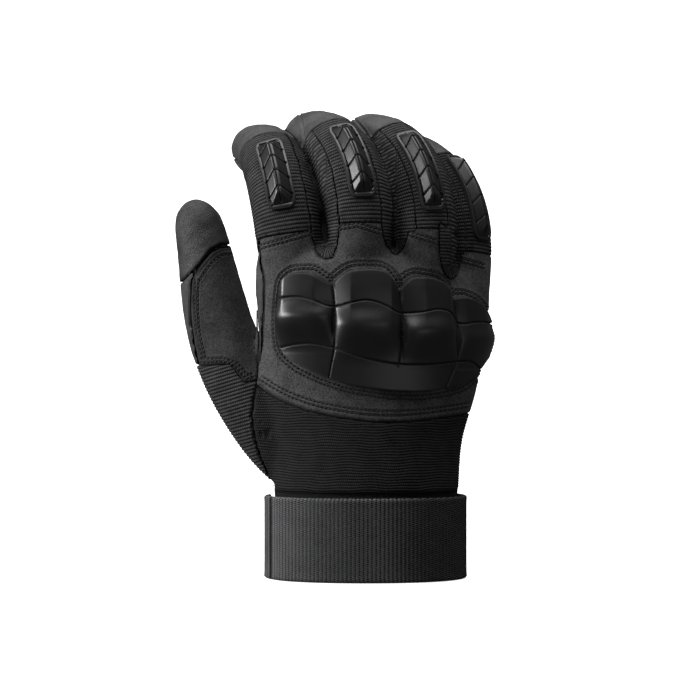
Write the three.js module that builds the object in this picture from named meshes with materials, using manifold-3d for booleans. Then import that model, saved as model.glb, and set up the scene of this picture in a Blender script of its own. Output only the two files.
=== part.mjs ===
// Impact glove for a right hand, held upright as on a hand, with its back to the front.
// Millimetres, +Z up the hand, -Y out of the back of the hand, -X on the thumb's side.
// The origin is the centre of the cuff's opening, on the plane of the strap's lower edge.
// Every cloth and leather panel is a wall of its own, cut from one hollow hand form along its seams.
import * as THREE from "three";
import Module from "manifold-3d";
import { mergeVertices } from "three/addons/utils/BufferGeometryUtils.js";

const wasm = await Module();
wasm.setup();

// Driving dimensions
const hand = { length: 166, width: 110, depth: 44, square: 2.2 };
const cuff = { width: 89, depth: 56, rise: 1.5 };
const wall = 1.8;
const seamGap = 0.35;
const thumb = { width: 31, depth: 31, square: 2.1 };

// The strap. The angles are in degrees round the cuff, from its right side by way of the palm side.
const strap = {
  height: 39.5,
  thick: 2.2,
  standoff: 1.4,
  fold: 0.7,
  from: 178,
  to: 480,
  foldFrom: 170,
  foldTo: 200,
  sewnFrom: 380,
  sewnOver: 60,
};

// The knuckle guard: seat is its gap to the cloth, band how high its lower part stands
const knuckle = { seat: 0.35, plate: 1.6, knob: 7, block: 4.2, band: 1.5, groove: 0.9, grooveDepth: 0.9 };

// A finger's guard: share is its width as a share of the finger's, top that of its roof's flat top
const ridge = {
  share: 0.44,
  plate: 2.2,
  rim: 1.3,
  rimWidth: 1.5,
  height: 4.6,
  top: 0.32,
  seat: 0.35,
  groove: 0.8,
  grooveDepth: 0.8,
  slant: 1.6,
  segments: 5,
};

// The four fingers. across, back and up are shares of the hand's width, depth and length. turn, lean,
// sway, bend and roll are in degrees. sunk is how far the root sinks towards the palm side. cap and
// guard lie along the finger, as shares of its length. panel is how far its back panel reaches to the
// left and right, as shares of its half width. full is how far each side swells at the slits.
const fingers = [
  {
    name: "index", across: -0.336, back: 0.06, up: 0.985, width: 31.3, depth: 28.8, length: 85,
    turn: 1, lean: -7.5, sway: -19, bend: 99, roll: -4, sunk: 0,
    cap: 0.59, guard: [0.11, 0.5], panel: [2, 0.72], full: [0, 0.4],
  },
  {
    name: "middle", across: -0.03, back: -0.03, up: 1.015, width: 30, depth: 27.2, length: 88,
    turn: 30, lean: 1, sway: -0.3, bend: 104, roll: -18, sunk: 0,
    cap: 0.59, guard: [0.11, 0.52], panel: [0.77, 0.54], full: [1.6, 0],
  },
  {
    name: "ring", across: 0.262, back: 0.1, up: 1.0, width: 28.5, depth: 27, length: 86,
    turn: 36, lean: 1, sway: -0.5, bend: 98, roll: -19, sunk: 0,
    cap: 0.62, guard: [0.08, 0.52], panel: [0.58, 0.48], full: [0, 0],
  },
  {
    name: "little", across: 0.438, back: 0.56, up: 0.935, width: 25.2, depth: 26, length: 84,
    turn: 46, lean: 6, sway: -1.5, bend: 86, roll: -6, sunk: 8,
    cap: 0.58, guard: [0.06, 0.55], panel: [0.64, 2], full: [0.3, 0],
  },
];
const finger = { root: 40, startBend: 3, square: 2.25, tip: 0.92, fullFrom: 2, fullOver: 18, fullTo: 0.72 };

// Sides and rows of the smooth bodies, which set how fine the facets are
const facets = {
  palm: 30,
  palmInside: 22,
  finger: [16, 11],
  fingerInside: [10, 8],
  thumb: [16, 11],
  thumbInside: [12, 9],
};

// What each panel is made of. Cut bodies are settled to within their tolerance.
const cloth = { color: 0x1c1c1e, roughness: 0.9 };
const suede = { color: 0x3a3a3c, roughness: 0.95 };
const leather = { color: 0x2c2c2e, roughness: 0.65 };
const rubber = { color: 0x161617, roughness: 0.35 };
const webbing = { color: 0x1a1a1c, roughness: 0.85 };
const tolerance = { panel: 0.2, palm: 0.26, guard: 0.28, ridge: 0.13 };

const degree = Math.PI / 180;
const { cos, sin, PI, sign, abs, pow, min, max, sqrt } = Math;

// Solids and meshes
function solidOf(geometry) {
  const bare = geometry.index ? geometry.toNonIndexed() : geometry.clone();
  bare.deleteAttribute("normal");
  bare.deleteAttribute("uv");
  const merged = mergeVertices(bare, 1e-4);
  const triVerts = new Uint32Array(merged.index.array);
  const made = new wasm.Manifold(
    new wasm.Mesh({ numProp: 3, vertProperties: merged.attributes.position.array, triVerts }),
  );
  if (made.volume() >= 0) return made;
  for (let i = 0; i < triVerts.length; i += 3) triVerts.subarray(i, i + 3).reverse();
  return new wasm.Manifold(
    new wasm.Mesh({ numProp: 3, vertProperties: merged.attributes.position.array, triVerts }),
  );
}

function geometryOf(solid) {
  const mesh = solid.getMesh();
  const places = new Float32Array(mesh.numVert * 3);
  for (let i = 0; i < mesh.numVert; i++) {
    places.set(mesh.vertProperties.subarray(i * mesh.numProp, i * mesh.numProp + 3), i * 3);
  }
  const geometry = new THREE.BufferGeometry();
  geometry.setAttribute("position", new THREE.BufferAttribute(places, 3));
  geometry.setIndex(new THREE.BufferAttribute(new Uint32Array(mesh.triVerts), 1));
  return geometry;
}

const union = (solids) => solids.reduce((all, one) => all.add(one));

// A closed body through rings of points, each ring with as many points, its two ends closed by fans
function loft(rings) {
  const count = rings[0].length;
  const places = rings.flat().flatMap((p) => [p.x, p.y, p.z]);
  const faces = [];
  for (let r = 0; r + 1 < rings.length; r++) {
    for (let i = 0; i < count; i++) {
      const a = r * count + i;
      const b = r * count + ((i + 1) % count);
      faces.push(a, b, b + count, a, b + count, a + count);
    }
  }
  for (const [ring, start] of [[rings[0], 0], [rings[rings.length - 1], (rings.length - 1) * count]]) {
    const middle = ring.reduce((sum, p) => sum.add(p), new THREE.Vector3()).divideScalar(count);
    const hub = places.length / 3;
    places.push(middle.x, middle.y, middle.z);
    for (let i = 0; i < count; i++) {
      const pair = [start + i, start + ((i + 1) % count)];
      faces.push(hub, ...(start === 0 ? pair.reverse() : pair));
    }
  }
  const geometry = new THREE.BufferGeometry();
  geometry.setAttribute("position", new THREE.Float32BufferAttribute(places, 3));
  geometry.setIndex(faces);
  return solidOf(geometry);
}

// A point of a rounded-square curve at an angle: square 2 is an ellipse, more is squarer
function rounded(angle, halfWidth, halfDepth, square) {
  const bulge = (v) => sign(v) * pow(abs(v), 2 / square);
  return [halfWidth * bulge(cos(angle)), halfDepth * bulge(sin(angle))];
}

const mix = (a, b, t) => a + (b - a) * t;
const share = (value) => min(1, max(0, value));
const ease = (t) => share(t) * share(t) * (3 - 2 * share(t));
const largest = (body) => body.decompose().sort((a, b) => b.volume() - a.volume())[0];

// Reads a table's columns at a share of the way, smoothly between its rows
function readTable(table, at) {
  const last = table.length - 1;
  let i = 0;
  while (i < last - 1 && at > table[i + 1].at) i++;
  const t = share((at - table[i].at) / (table[i + 1].at - table[i].at));
  const row = {};
  for (const key of Object.keys(table[0])) row[key] = mix(table[i][key], table[i + 1][key], t);
  return row;
}

// The palm, from the cuff to the finger roots: at is a share of the hand's length, left and right of
// its width, depth and back of its depth. turn is in degrees, bow and slope are shares of the depth.
const cuffRow = {
  left: -cuff.width / 2 / hand.width,
  right: cuff.width / 2 / hand.width,
  depth: cuff.depth / hand.depth,
  back: 0,
  turn: 0,
};
const palmTable = [
  { at: cuff.rise / hand.length, ...cuffRow, bow: 0.0, slope: 0.0 },
  { at: 0.26, ...cuffRow, bow: 0.04, slope: 0.0 },
  { at: 0.4, left: -0.44, right: 0.425, depth: 1.17, back: 0.03, turn: 1, bow: 0.1, slope: 0.0 },
  { at: 0.53, left: -0.475, right: 0.487, depth: 1.07, back: 0.05, turn: 3, bow: 0.16, slope: 0.0 },
  { at: 0.66, left: -0.475, right: 0.53, depth: 0.98, back: 0.07, turn: 5, bow: 0.21, slope: 0.0 },
  { at: 0.77, left: -0.475, right: 0.545, depth: 0.9, back: 0.08, turn: 7, bow: 0.24, slope: -0.06 },
  { at: 0.85, left: -0.473, right: 0.535, depth: 0.82, back: 0.09, turn: 9, bow: 0.26, slope: -0.1 },
  { at: 0.91, left: -0.45, right: 0.5, depth: 0.66, back: 0.1, turn: 10, bow: 0.27, slope: -0.1 },
  { at: 0.95, left: -0.38, right: 0.42, depth: 0.36, back: 0.11, turn: 10, bow: 0.28, slope: -0.1 },
];

// A point of the palm's section in its own axes, set in the hand: u across, v through the hand
function palmPoint(row, u, v) {
  const centre = ((row.left + row.right) / 2) * hand.width;
  const half = ((row.right - row.left) / 2) * hand.width;
  const bowed = v + row.bow * hand.depth * pow(u / half, 2);
  const turn = row.turn * degree;
  return new THREE.Vector3(
    centre + u * cos(turn) - bowed * sin(turn),
    row.back * hand.depth - 0.3 * row.bow * hand.depth + u * sin(turn) + bowed * cos(turn),
    row.at * hand.length + row.slope * u,
  );
}

function palmBody(grow, sides) {
  const rings = palmTable.map((row) => {
    const half = ((row.right - row.left) / 2) * hand.width + grow;
    const deep = (row.depth * hand.depth) / 2 + grow;
    return Array.from({ length: sides }, (_, i) => {
      return palmPoint(row, ...rounded((i / sides) * 2 * PI, half, deep, hand.square));
    });
  });
  const last = palmTable.length - 1;
  rings[last].forEach((p) => (p.z += grow));
  if (grow < 0) rings[0].forEach((p) => (p.z -= 3));
  return loft(rings);
}

// A finger's middle line: its place and its axes (along, side, back) at a length from its seam
function fingerFrame(f, s) {
  const base = new THREE.Vector3(f.across * hand.width, f.back * hand.depth, f.up * hand.length);
  const turn = f.turn * degree;
  const side = new THREE.Vector3(cos(turn), sin(turn), 0);
  const outward = new THREE.Vector3(sin(turn), -cos(turn), 0);
  const rise = new THREE.Vector3(0, 0, 1).addScaledVector(side, Math.tan(f.lean * degree)).normalize();
  const level = side.clone().addScaledVector(rise, -side.dot(rise)).normalize();
  const steps = 24;
  const place = base.clone();
  const at = (q) => mix(finger.startBend, f.bend, max(0, q / f.length)) * degree;
  const axes = (q) => {
    const bend = at(q);
    const sway = f.sway * degree * (max(0, q) / f.length);
    const straight = rise.clone().multiplyScalar(cos(bend)).addScaledVector(outward, -sin(bend));
    const back = rise.clone().multiplyScalar(sin(bend)).addScaledVector(outward, cos(bend));
    const along = straight.clone().multiplyScalar(cos(sway)).addScaledVector(level, sin(sway));
    const across = level.clone().multiplyScalar(cos(sway)).addScaledVector(straight, -sin(sway));
    const roll = f.roll * degree;
    return {
      along,
      side: across.clone().multiplyScalar(cos(roll)).addScaledVector(back, -sin(roll)),
      back: back.clone().multiplyScalar(cos(roll)).addScaledVector(across, sin(roll)),
    };
  };
  for (let i = 0; i < steps; i++) place.addScaledVector(axes(((i + 0.5) / steps) * s).along, s / steps);
  return { place, ...axes(s) };
}

const inFrame = (frame, along, side, back) =>
  frame.place
    .clone()
    .addScaledVector(frame.along, along)
    .addScaledVector(frame.side, side)
    .addScaledVector(frame.back, back);

// How the finger's section swells and narrows: at is a share of its length, from below its seam to its tip
const fingerTable = [
  { at: -0.5, width: 0.6, depth: 0.5 },
  { at: -0.25, width: 0.9, depth: 0.86 },
  { at: -0.08, width: 1.02, depth: 1.02 },
  { at: 0.1, width: 1.03, depth: 1.02 },
  { at: 0.35, width: 1.0, depth: 1.0 },
  { at: 0.55, width: 0.95, depth: 0.96 },
  { at: 0.75, width: 0.88, depth: 0.9 },
  { at: 1.0, width: 0.82, depth: 0.84 },
];

// Half width and half depth of a finger at a length from its seam, with its round tip
function fingerHalves(f, s, grow) {
  const row = readTable(fingerTable, s / f.length);
  const tip = (f.depth / 2) * finger.tip;
  const past = max(0, (s - (f.length - tip)) / tip);
  const round = sqrt(max(0, 1 - past * past));
  const reach = max(0.02, round);
  return [reach * (row.width * f.width / 2 + grow), reach * (row.depth * f.depth / 2 + grow)];
}

function fingerBody(f, grow, sides, rows) {
  const rings = [];
  for (let r = 0; r <= rows; r++) {
    const t = r / rows;
    const s = mix(-finger.root, f.length, t < 0.6 ? t * 1.1 : 0.66 + 0.34 * sin(((t - 0.6) / 0.4) * PI / 2));
    const frame = fingerFrame(f, s);
    const [a, b] = fingerHalves(f, s, grow);
    const ahead = grow * max(0, s / f.length);
    const sunk = f.sunk * pow(min(0, s) / finger.root, 2);
    const rising = ease((s - finger.fullFrom) / finger.fullOver);
    const swell = rising * ease((f.length * finger.fullTo - s) / finger.fullOver);
    rings.push(
      Array.from({ length: sides }, (_, i) => {
        const [u, v] = rounded((i / sides) * 2 * PI, a, b, finger.square);
        const full = (u < 0 ? f.full[0] : f.full[1]) * swell;
        return inFrame(frame, ahead, u + (u / a) * full, v + sunk);
      }),
    );
  }
  return loft(rings);
}

// A body that bends with a finger between two lengths, its section a polygon given at each length
function fingerSweep(f, from, to, sectionAt, steps = 12) {
  const rings = [];
  for (let i = 0; i <= steps; i++) {
    const s = mix(from, to, i / steps);
    const frame = fingerFrame(f, min(s, f.length));
    const halves = fingerHalves(f, min(s, f.length * 0.8), 0);
    rings.push(sectionAt(s, ...halves).map(([u, v]) => inFrame(frame, max(0, s - f.length), u, v)));
  }
  return loft(rings);
}

const rectangle = (left, right, low, high) => [
  [left, low],
  [right, low],
  [right, high],
  [left, high],
];

// The thumb's middle line, in even steps from inside the palm to its tip: across, back and up are
// shares of the hand's width, depth and length, width and depth of the thumb's own
const thumbTable = [
  { across: -0.225, back: 0.09, up: 0.262, width: 0.8, depth: 0.84 },
  { across: -0.378, back: 0.18, up: 0.402, width: 1.16, depth: 1.2 },
  { across: -0.54, back: 0.32, up: 0.56, width: 1.15, depth: 1.16 },
  { across: -0.636, back: 0.43, up: 0.7, width: 1.08, depth: 1.04 },
  { across: -0.686, back: 0.5, up: 0.831, width: 0.98, depth: 0.94 },
  { across: -0.724, back: 0.545, up: 0.964, width: 0.84, depth: 0.82 },
  { across: -0.776, back: 0.57, up: 1.102, width: 0.7, depth: 0.7 },
].map((row, i, rows) => ({ at: i / (rows.length - 1), ...row }));

const thumbLine = new THREE.CatmullRomCurve3(
  thumbTable.map((r) => new THREE.Vector3(r.across * hand.width, r.back * hand.depth, r.up * hand.length)),
);

// The thumb's place and axes (along, side, back) at a share of its middle line
function thumbFrame(t) {
  const along = thumbLine.getTangent(t);
  const back = new THREE.Vector3(-0.2, -1, 0);
  back.addScaledVector(along, -back.dot(along)).normalize();
  return { place: thumbLine.getPoint(t), along, side: new THREE.Vector3().crossVectors(back, along), back };
}

function thumbBody(grow, sides, rows) {
  const rings = [];
  for (let r = 0; r <= rows; r++) {
    const t = r < rows - 4 ? (r / (rows - 4)) * 0.9 : 0.9 + 0.1 * sin(((r - rows + 4) / 4) * PI / 2);
    const row = readTable(thumbTable, t);
    const round = max(0.03, sqrt(max(0, 1 - pow(max(0, (t - 0.9) / 0.1), 2))));
    const wide = round * ((row.width * thumb.width) / 2 + grow);
    const deep = round * ((row.depth * thumb.depth) / 2 + grow);
    rings.push(
      Array.from({ length: sides }, (_, i) => {
        const [u, v] = rounded((i / sides) * 2 * PI, wide, deep, thumb.square);
        return inFrame(thumbFrame(t), grow * t, u, v);
      }),
    );
  }
  return loft(rings);
}

// The palm's front surface at a place across and up the hand, and the way it faces
function palmFront(x, up) {
  const row = readTable(palmTable, up / hand.length);
  const half = ((row.right - row.left) / 2) * hand.width;
  const deep = (row.depth * hand.depth) / 2;
  const at = (angle) => {
    const p = palmPoint(row, ...rounded(angle, half, deep, hand.square));
    p.z = up;
    return p;
  };
  let low = PI;
  let high = 2 * PI;
  for (let i = 0; i < 24; i++) {
    const angle = (low + high) / 2;
    if (at(angle).x < x) low = angle;
    else high = angle;
  }
  const place = at(low);
  const run = at(low + 0.02).sub(at(low - 0.02)).normalize();
  return { place, out: new THREE.Vector3(run.y, -run.x, 0) };
}

// A prism through the hand from front to back, its outline in shares of the hand's width and length
function prism(outline, grow = 0, front = -80, rear = 80) {
  const flat = outline.map(([x, z]) => [x * hand.width, z * hand.length]);
  let section = new wasm.CrossSection([flat], "Positive");
  if (section.area() <= 0) section = new wasm.CrossSection([flat.slice().reverse()], "Positive");
  if (grow) section = section.offset(grow, "Round", 2, 16);
  return section.extrude(rear - front + 2 * grow).rotate([90, 0, 0]).translate([0, rear + grow, 0]);
}

// A line drawn on the front as a thin wall through the hand
function lineWall(points, wide) {
  const flat = points.map(([x, z]) => new THREE.Vector2(x * hand.width, z * hand.length));
  const bars = flat.slice(1).map((end, i) => {
    const run = end.clone().sub(flat[i]);
    const turn = (Math.atan2(run.y, run.x) * 180) / PI;
    return wasm.CrossSection.square([run.length() + wide * 0.6, wide], false)
      .translate([-wide * 0.3, -wide / 2])
      .rotate(turn)
      .translate([flat[i].x, flat[i].y]);
  });
  return wasm.CrossSection.union(bars).extrude(160).rotate([90, 0, 0]).translate([0, 80, 0]);
}

// The space in front of the palm's side seams, moved through the hand by an offset
function frontOfPalm(offset) {
  const levels = [-6, ...palmTable.slice(1, -1).map((row) => row.at * hand.length), hand.length * 1.08];
  return loft(
    levels.map((up) => {
      const row = readTable(palmTable, min(up / hand.length, 0.88));
      const half = ((row.right - row.left) / 2) * hand.width;
      const seam = Array.from({ length: 9 }, (_, i) => {
        const p = palmPoint(row, mix(-1.25, 1.25, i / 8) * half, 1.5 + offset);
        p.z = up;
        return p;
      });
      return [...seam, new THREE.Vector3(120, -90, up), new THREE.Vector3(-120, -90, up)];
    }),
  );
}

// The space in front of the thumb's side seams, moved through it by an offset
function frontOfThumb(offset) {
  const rings = [];
  for (let i = 0; i <= 10; i++) {
    const frame = thumbFrame(i / 10);
    const past = i === 0 ? -20 : i === 10 ? 15 : 0;
    rings.push(rectangle(-27, 27, -1 - offset, 50).map(([u, v]) => inFrame(frame, past, u, v)));
  }
  return loft(rings);
}

// The hollow hand form
const outerBody = (grow) =>
  union([
    palmBody(grow, facets.palm),
    ...fingers.map((f) => fingerBody(f, grow, ...facets.finger)),
    thumbBody(grow, ...facets.thumb),
  ]);
const fingerClear = (f, g) => fingerBody(f, 0.06 + g, ...facets.finger);
const outer = outerBody(0);
const inner = union([
  palmBody(-wall, facets.palmInside),
  ...fingers.map((f) => fingerBody(f, -wall, ...facets.fingerInside)),
  thumbBody(-wall, ...facets.thumbInside),
]);
const shell = outer.subtract(inner);

// Outlines of the back's panels, seen from the front, as shares of the hand's width and length
const knuckleLine = [
  [-0.475, 0.57],
  [-0.475, 0.555],
  [-0.375, 0.515],
  [-0.25, 0.484],
  [-0.121, 0.466],
  [0.037, 0.452],
  [0.196, 0.454],
  [0.355, 0.466],
  [0.45, 0.474],
  [0.7, 0.49],
];
const knuckleOutline = [
  [-0.457, 1.1],
  [-0.457, 0.948],
  [-0.437, 0.85],
  [-0.443, 0.742],
  [-0.448, 0.673],
  ...knuckleLine,
  [0.7, 1.1],
];
const backOutline = [
  ...knuckleLine,
  [0.7, -0.1],
  [-0.397, -0.1],
  [-0.397, 0.262],
  [-0.449, 0.335],
  [-0.48, 0.405],
  [-0.496, 0.468],
  [-0.488, 0.519],
];
const gussetOutline = [
  [-0.475, 0.57],
  [-0.488, 0.519],
  [-0.496, 0.468],
  [-0.48, 0.405],
  [-0.449, 0.335],
  [-0.397, 0.262],
  [-0.47, 0.24],
  [-0.9, 0.5],
  [-0.9, 0.612],
  [-0.726, 0.612],
  [-0.588, 0.616],
  [-0.528, 0.563],
];
const thumbBackOutline = [
  [-0.475, 0.57],
  [-0.528, 0.563],
  [-0.588, 0.616],
  [-0.726, 0.612],
  [-0.754, 0.683],
  [-0.769, 0.773],
  [-0.764, 0.862],
  [-0.73, 0.9],
  [-0.68, 0.94],
  [-0.639, 0.955],
  [-0.56, 0.962],
  [-0.48, 0.8],
  [-0.468, 0.68],
];
const thumbTipOutline = [
  [-0.95, 0.83],
  [-0.864, 0.838],
  [-0.806, 0.862],
  [-0.764, 0.888],
  [-0.73, 0.912],
  [-0.68, 0.952],
  [-0.639, 0.967],
  [-0.5, 0.972],
  [-0.5, 1.3],
  [-0.95, 1.3],
];

// The ribbed webs between the fingers: the finger on the left, how far back the foot goes, its outline
const webs = [
  {
    left: 0,
    rear: 9,
    foot: [
      [-0.245, 1.03], [-0.236, 0.98], [-0.222, 0.948], [-0.2, 0.926], [-0.172, 0.915], [-0.145, 0.922],
      [-0.126, 0.945], [-0.118, 0.98], [-0.114, 1.04],
    ],
  },
  {
    left: 1,
    rear: 9,
    foot: [
      [0.064, 1.04], [0.07, 0.985], [0.086, 0.955], [0.108, 0.936], [0.134, 0.93], [0.158, 0.938],
      [0.176, 0.96], [0.187, 0.99], [0.191, 1.03],
    ],
  },
  {
    left: 2,
    rear: 20,
    foot: [
      [0.315, 1.025], [0.317, 0.94], [0.326, 0.9], [0.344, 0.872], [0.368, 0.86], [0.392, 0.87],
      [0.41, 0.9], [0.424, 0.96],
    ],
  },
];

const glove = new THREE.Group();

// A body with its short edges and flat corners taken out, its points on a fine grid, still one body
// whose every edge joins two faces
function settled(body, tolerance) {
  for (const share of [1, 0.9, 0.8, 0.7, 0.6, 0.5, 0.4, 0.3, 0.2, 0.1, 0]) {
    const grid = 0.001;
    const mesh = body.asOriginal().simplify(tolerance * share).getMesh();
    const places = new Map();
    const points = [];
    const index = [];
    for (let i = 0; i < mesh.numVert; i++) {
      const p = [0, 1, 2].map((c) => Math.round(mesh.vertProperties[i * mesh.numProp + c] / grid) * grid);
      const key = p.map((v) => v.toFixed(3)).join(" ");
      if (!places.has(key)) {
        places.set(key, points.length / 3);
        points.push(...p);
      }
      index.push(places.get(key));
    }
    const triVerts = [];
    const edges = new Set();
    let doubled = false;
    for (let i = 0; i < mesh.triVerts.length; i += 3) {
      const corners = [0, 1, 2].map((n) => index[mesh.triVerts[i + n]]);
      if (new Set(corners).size < 3) continue;
      triVerts.push(...corners);
      for (let n = 0; n < 3; n++) {
        const edge = corners[n] + ">" + corners[(n + 1) % 3];
        doubled ||= edges.has(edge);
        edges.add(edge);
      }
    }
    if (doubled) continue;
    try {
      const made = new wasm.Manifold(
        new wasm.Mesh({
          numProp: 3,
          vertProperties: new Float32Array(points),
          triVerts: new Uint32Array(triVerts),
        }),
      );
      if (made.decompose().length === 1) return made;
    } catch {
      continue;
    }
  }
  throw new Error("a body can't be settled");
}

function add(name, body, look, within) {
  const material = new THREE.MeshStandardMaterial({ ...look, metalness: 0 });
  const mesh = new THREE.Mesh(geometryOf(settled(body, within)), material);
  mesh.name = name;
  glove.add(mesh);
}

// Panels, cut from the form in turn: what is left of it is the leather palm. Each region is given by a
// function, as it is with 0 and wider all round by the seam's gap.
let rest = shell;
function cut(name, look, region) {
  add(name, largest(rest.intersect(region(0))), look, tolerance.panel);
  rest = rest.subtract(region(seamGap));
}

for (const web of webs) {
  const [left, right] = [fingers[web.left], fingers[web.left + 1]];
  const leg = (f, way, g) =>
    fingerSweep(f, -1 - g, f.cap * f.length - seamGap / 2 + g, (s, w, d) => {
      const near = f.panel[way > 0 ? 1 : 0] * w - g;
      const [low, high] = [-0.4 * d - g, d + 5];
      return way > 0 ? rectangle(near, w + 5, low, high) : rectangle(-w - 5, -near, low, high);
    }).intersect(fingerClear(f, g));
  const region = (g) => union([leg(left, 1, g), leg(right, -1, g), prism(web.foot, g, -60, web.rear)]);
  cut(left.name + "_web", cloth, region);
}
for (const f of fingers) {
  const cap = f.cap * f.length;
  const tip = (g) =>
    fingerSweep(f, cap + seamGap / 2 - g, f.length + 12, (s, w, d) =>
      rectangle(-w - 8, w + 8, -0.12 * d - g, d + 8),
    ).intersect(fingerClear(f, g));
  const back = (g) =>
    fingerSweep(f, seamGap - g, cap - seamGap / 2 + g, (s, w, d) => {
      const [left, right] = f.panel.map((reach) => min(w + 4, reach * w - seamGap + g));
      return rectangle(-left, right, 0.06 * d - g, d + 6);
    }).intersect(fingerClear(f, g));
  cut(f.name + "_tip", leather, tip);
  cut(f.name + "_back", cloth, back);
}
const frontPrism = (outline, front) => (g) => prism(outline, g).intersect(front(g));
const thumbTipRegion = (g) => prism(thumbTipOutline, g).intersect(thumbBody(1 + g, ...facets.thumb));
const aboveSeams = (g) =>
  union(
    fingers.map((f) =>
      fingerSweep(f, g, f.length + 10, (s, w, d) => rectangle(-w - 4 + g, w + 4 - g, -d - 3 + g, d + 6)),
    ),
  );
cut("thumb_tip", leather, thumbTipRegion);
cut("thumb_back", suede, frontPrism(thumbBackOutline, frontOfThumb));
cut("thumb_gusset", cloth, frontPrism(gussetOutline, (g) => union([frontOfThumb(g), frontOfPalm(g)])));
cut("knuckle_panel", suede, (g) => frontPrism(knuckleOutline, frontOfPalm)(g).subtract(aboveSeams(g)));
cut("back_knit", cloth, frontPrism(backOutline, frontOfPalm));
add("palm", largest(rest), leather, tolerance.palm);

// The knuckle guard: a plate that follows the back of the hand, four knobs and the blocks above them
const guardOutline = [
  [-0.372, 0.735], [-0.364, 0.803], [-0.355, 0.854], [-0.315, 0.875], [-0.227, 0.877], [-0.149, 0.837],
  [-0.112, 0.865], [-0.061, 0.886], [0.071, 0.886], [0.105, 0.862], [0.135, 0.82], [0.16, 0.848],
  [0.203, 0.868], [0.309, 0.857], [0.339, 0.831], [0.36, 0.8], [0.39, 0.807], [0.424, 0.809],
  [0.484, 0.792], [0.514, 0.764], [0.57, 0.725], [0.57, 0.671], [0.493, 0.606], [0.458, 0.58],
  [0.407, 0.558], [0.324, 0.546], [0.231, 0.538], [0.092, 0.541], [-0.074, 0.558], [-0.189, 0.584],
  [-0.287, 0.614], [-0.342, 0.642], [-0.362, 0.663],
];
const guardGrooves = [
  [
    [-0.385, 0.8], [-0.282, 0.811], [-0.208, 0.797], [-0.142, 0.776], [-0.049, 0.794], [0.005, 0.8],
    [0.071, 0.786], [0.124, 0.763], [0.151, 0.761], [0.23, 0.765], [0.29, 0.776], [0.351, 0.763],
    [0.384, 0.727], [0.47, 0.741], [0.58, 0.727],
  ],
  [
    [-0.385, 0.659], [-0.254, 0.679], [-0.142, 0.666], [-0.01, 0.633], [0.124, 0.615], [0.258, 0.615],
    [0.377, 0.624], [0.443, 0.626], [0.483, 0.6], [0.509, 0.577],
  ],
  [[-0.148, 0.86], [-0.131, 0.778], [-0.129, 0.707], [-0.131, 0.666], [-0.142, 0.628], [-0.159, 0.566]],
  [[0.128, 0.84], [0.147, 0.761], [0.157, 0.716], [0.147, 0.672], [0.132, 0.611]],
  [[0.357, 0.82], [0.384, 0.727], [0.389, 0.677], [0.377, 0.624], [0.353, 0.589], [0.313, 0.527]],
];
// One row per knuckle: the valleys to its left and right, the edges of its flat face, the groove over
// its knob and the foot of the knob, as shares of the hand's width and length, and how high it stands
const knuckles = [
  { left: -0.383, right: -0.136, faceLeft: -0.34, faceRight: -0.21, groove: 0.8, foot: 0.668, high: 0.95 },
  { left: -0.136, right: 0.146, faceLeft: -0.063, faceRight: 0.1, groove: 0.79, foot: 0.63, high: 1 },
  { left: 0.146, right: 0.378, faceLeft: 0.235, faceRight: 0.335, groove: 0.768, foot: 0.618, high: 1 },
  { left: 0.378, right: 0.56, faceLeft: 0.42, faceRight: 0.5, groove: 0.735, foot: 0.618, high: 0.55 },
];

// How high the knuckle guard stands over its plate at a place across and up the hand: a faceted block
// above the groove, and under it a round knob that runs down into the lower band
function guardHeight(x, up) {
  const k = knuckles.find((row) => x < row.right) ?? knuckles[knuckles.length - 1];
  const t = min(1, max(-1, (2 * x - k.left - k.right) / (k.right - k.left)));
  const toLeft = share((x - k.left) / (k.faceLeft - k.left));
  const toRight = share((k.right - x) / (k.right - k.faceRight));
  const face = min(toLeft, toRight);
  const dome = sqrt(1 - pow(abs(t), 2.6));
  const down = (k.groove - up) / (k.groove - k.foot);
  if (down > 1.15) return knuckle.band;
  const block = knuckle.block * mix(0.75, 1, share(1 + down * 1.5)) * mix(0.12, 1, face);
  const fall = 0.5 + 0.5 * cos(PI * share((down - 0.3) / 0.85));
  const knob = max(mix(knuckle.band, knuckle.knob * dome, fall), knuckle.band * mix(0.4, 1, dome));
  return max(0.5, k.high * mix(block, knob, ease(down * 2.4)));
}

// The guard's relief as a solid through its plate, moved out by grow
function guardRelief(grow) {
  const across = Array.from({ length: 37 }, (_, i) => mix(-0.39, 0.536, i / 36));
  const levels = Array.from({ length: 20 }, (_, i) => mix(0.52, 0.9, i / 19));
  const places = [];
  const faces = [];
  for (const deep of [0, 1]) {
    for (const up of levels) {
      for (const x of across) {
        const { place, out } = palmFront(x * hand.width, up * hand.length);
        const high = deep ? -4 : knuckle.seat + knuckle.plate + guardHeight(x, up) + grow;
        place.addScaledVector(out, high);
        places.push(place.x, place.y, place.z);
      }
    }
  }
  const wide = across.length;
  const sheet = wide * levels.length;
  const quad = (a, b, c, d) => faces.push(a, b, c, a, c, d);
  for (let r = 0; r + 1 < levels.length; r++) {
    for (let c = 0; c + 1 < wide; c++) {
      const at = r * wide + c;
      quad(at, at + 1, at + wide + 1, at + wide);
      quad(sheet + at, sheet + at + wide, sheet + at + wide + 1, sheet + at + 1);
    }
  }
  const border = [
    ...Array.from({ length: wide - 1 }, (_, c) => c),
    ...Array.from({ length: levels.length - 1 }, (_, r) => r * wide + wide - 1),
    ...Array.from({ length: wide - 1 }, (_, c) => sheet - 1 - c),
    ...Array.from({ length: levels.length - 1 }, (_, r) => (levels.length - 1 - r) * wide),
  ];
  border.forEach((at, i) => {
    const next = border[(i + 1) % border.length];
    quad(at, sheet + at, sheet + next, next);
  });
  const geometry = new THREE.BufferGeometry();
  geometry.setAttribute("position", new THREE.Float32BufferAttribute(places, 3));
  geometry.setIndex(faces);
  return solidOf(geometry);
}

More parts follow.
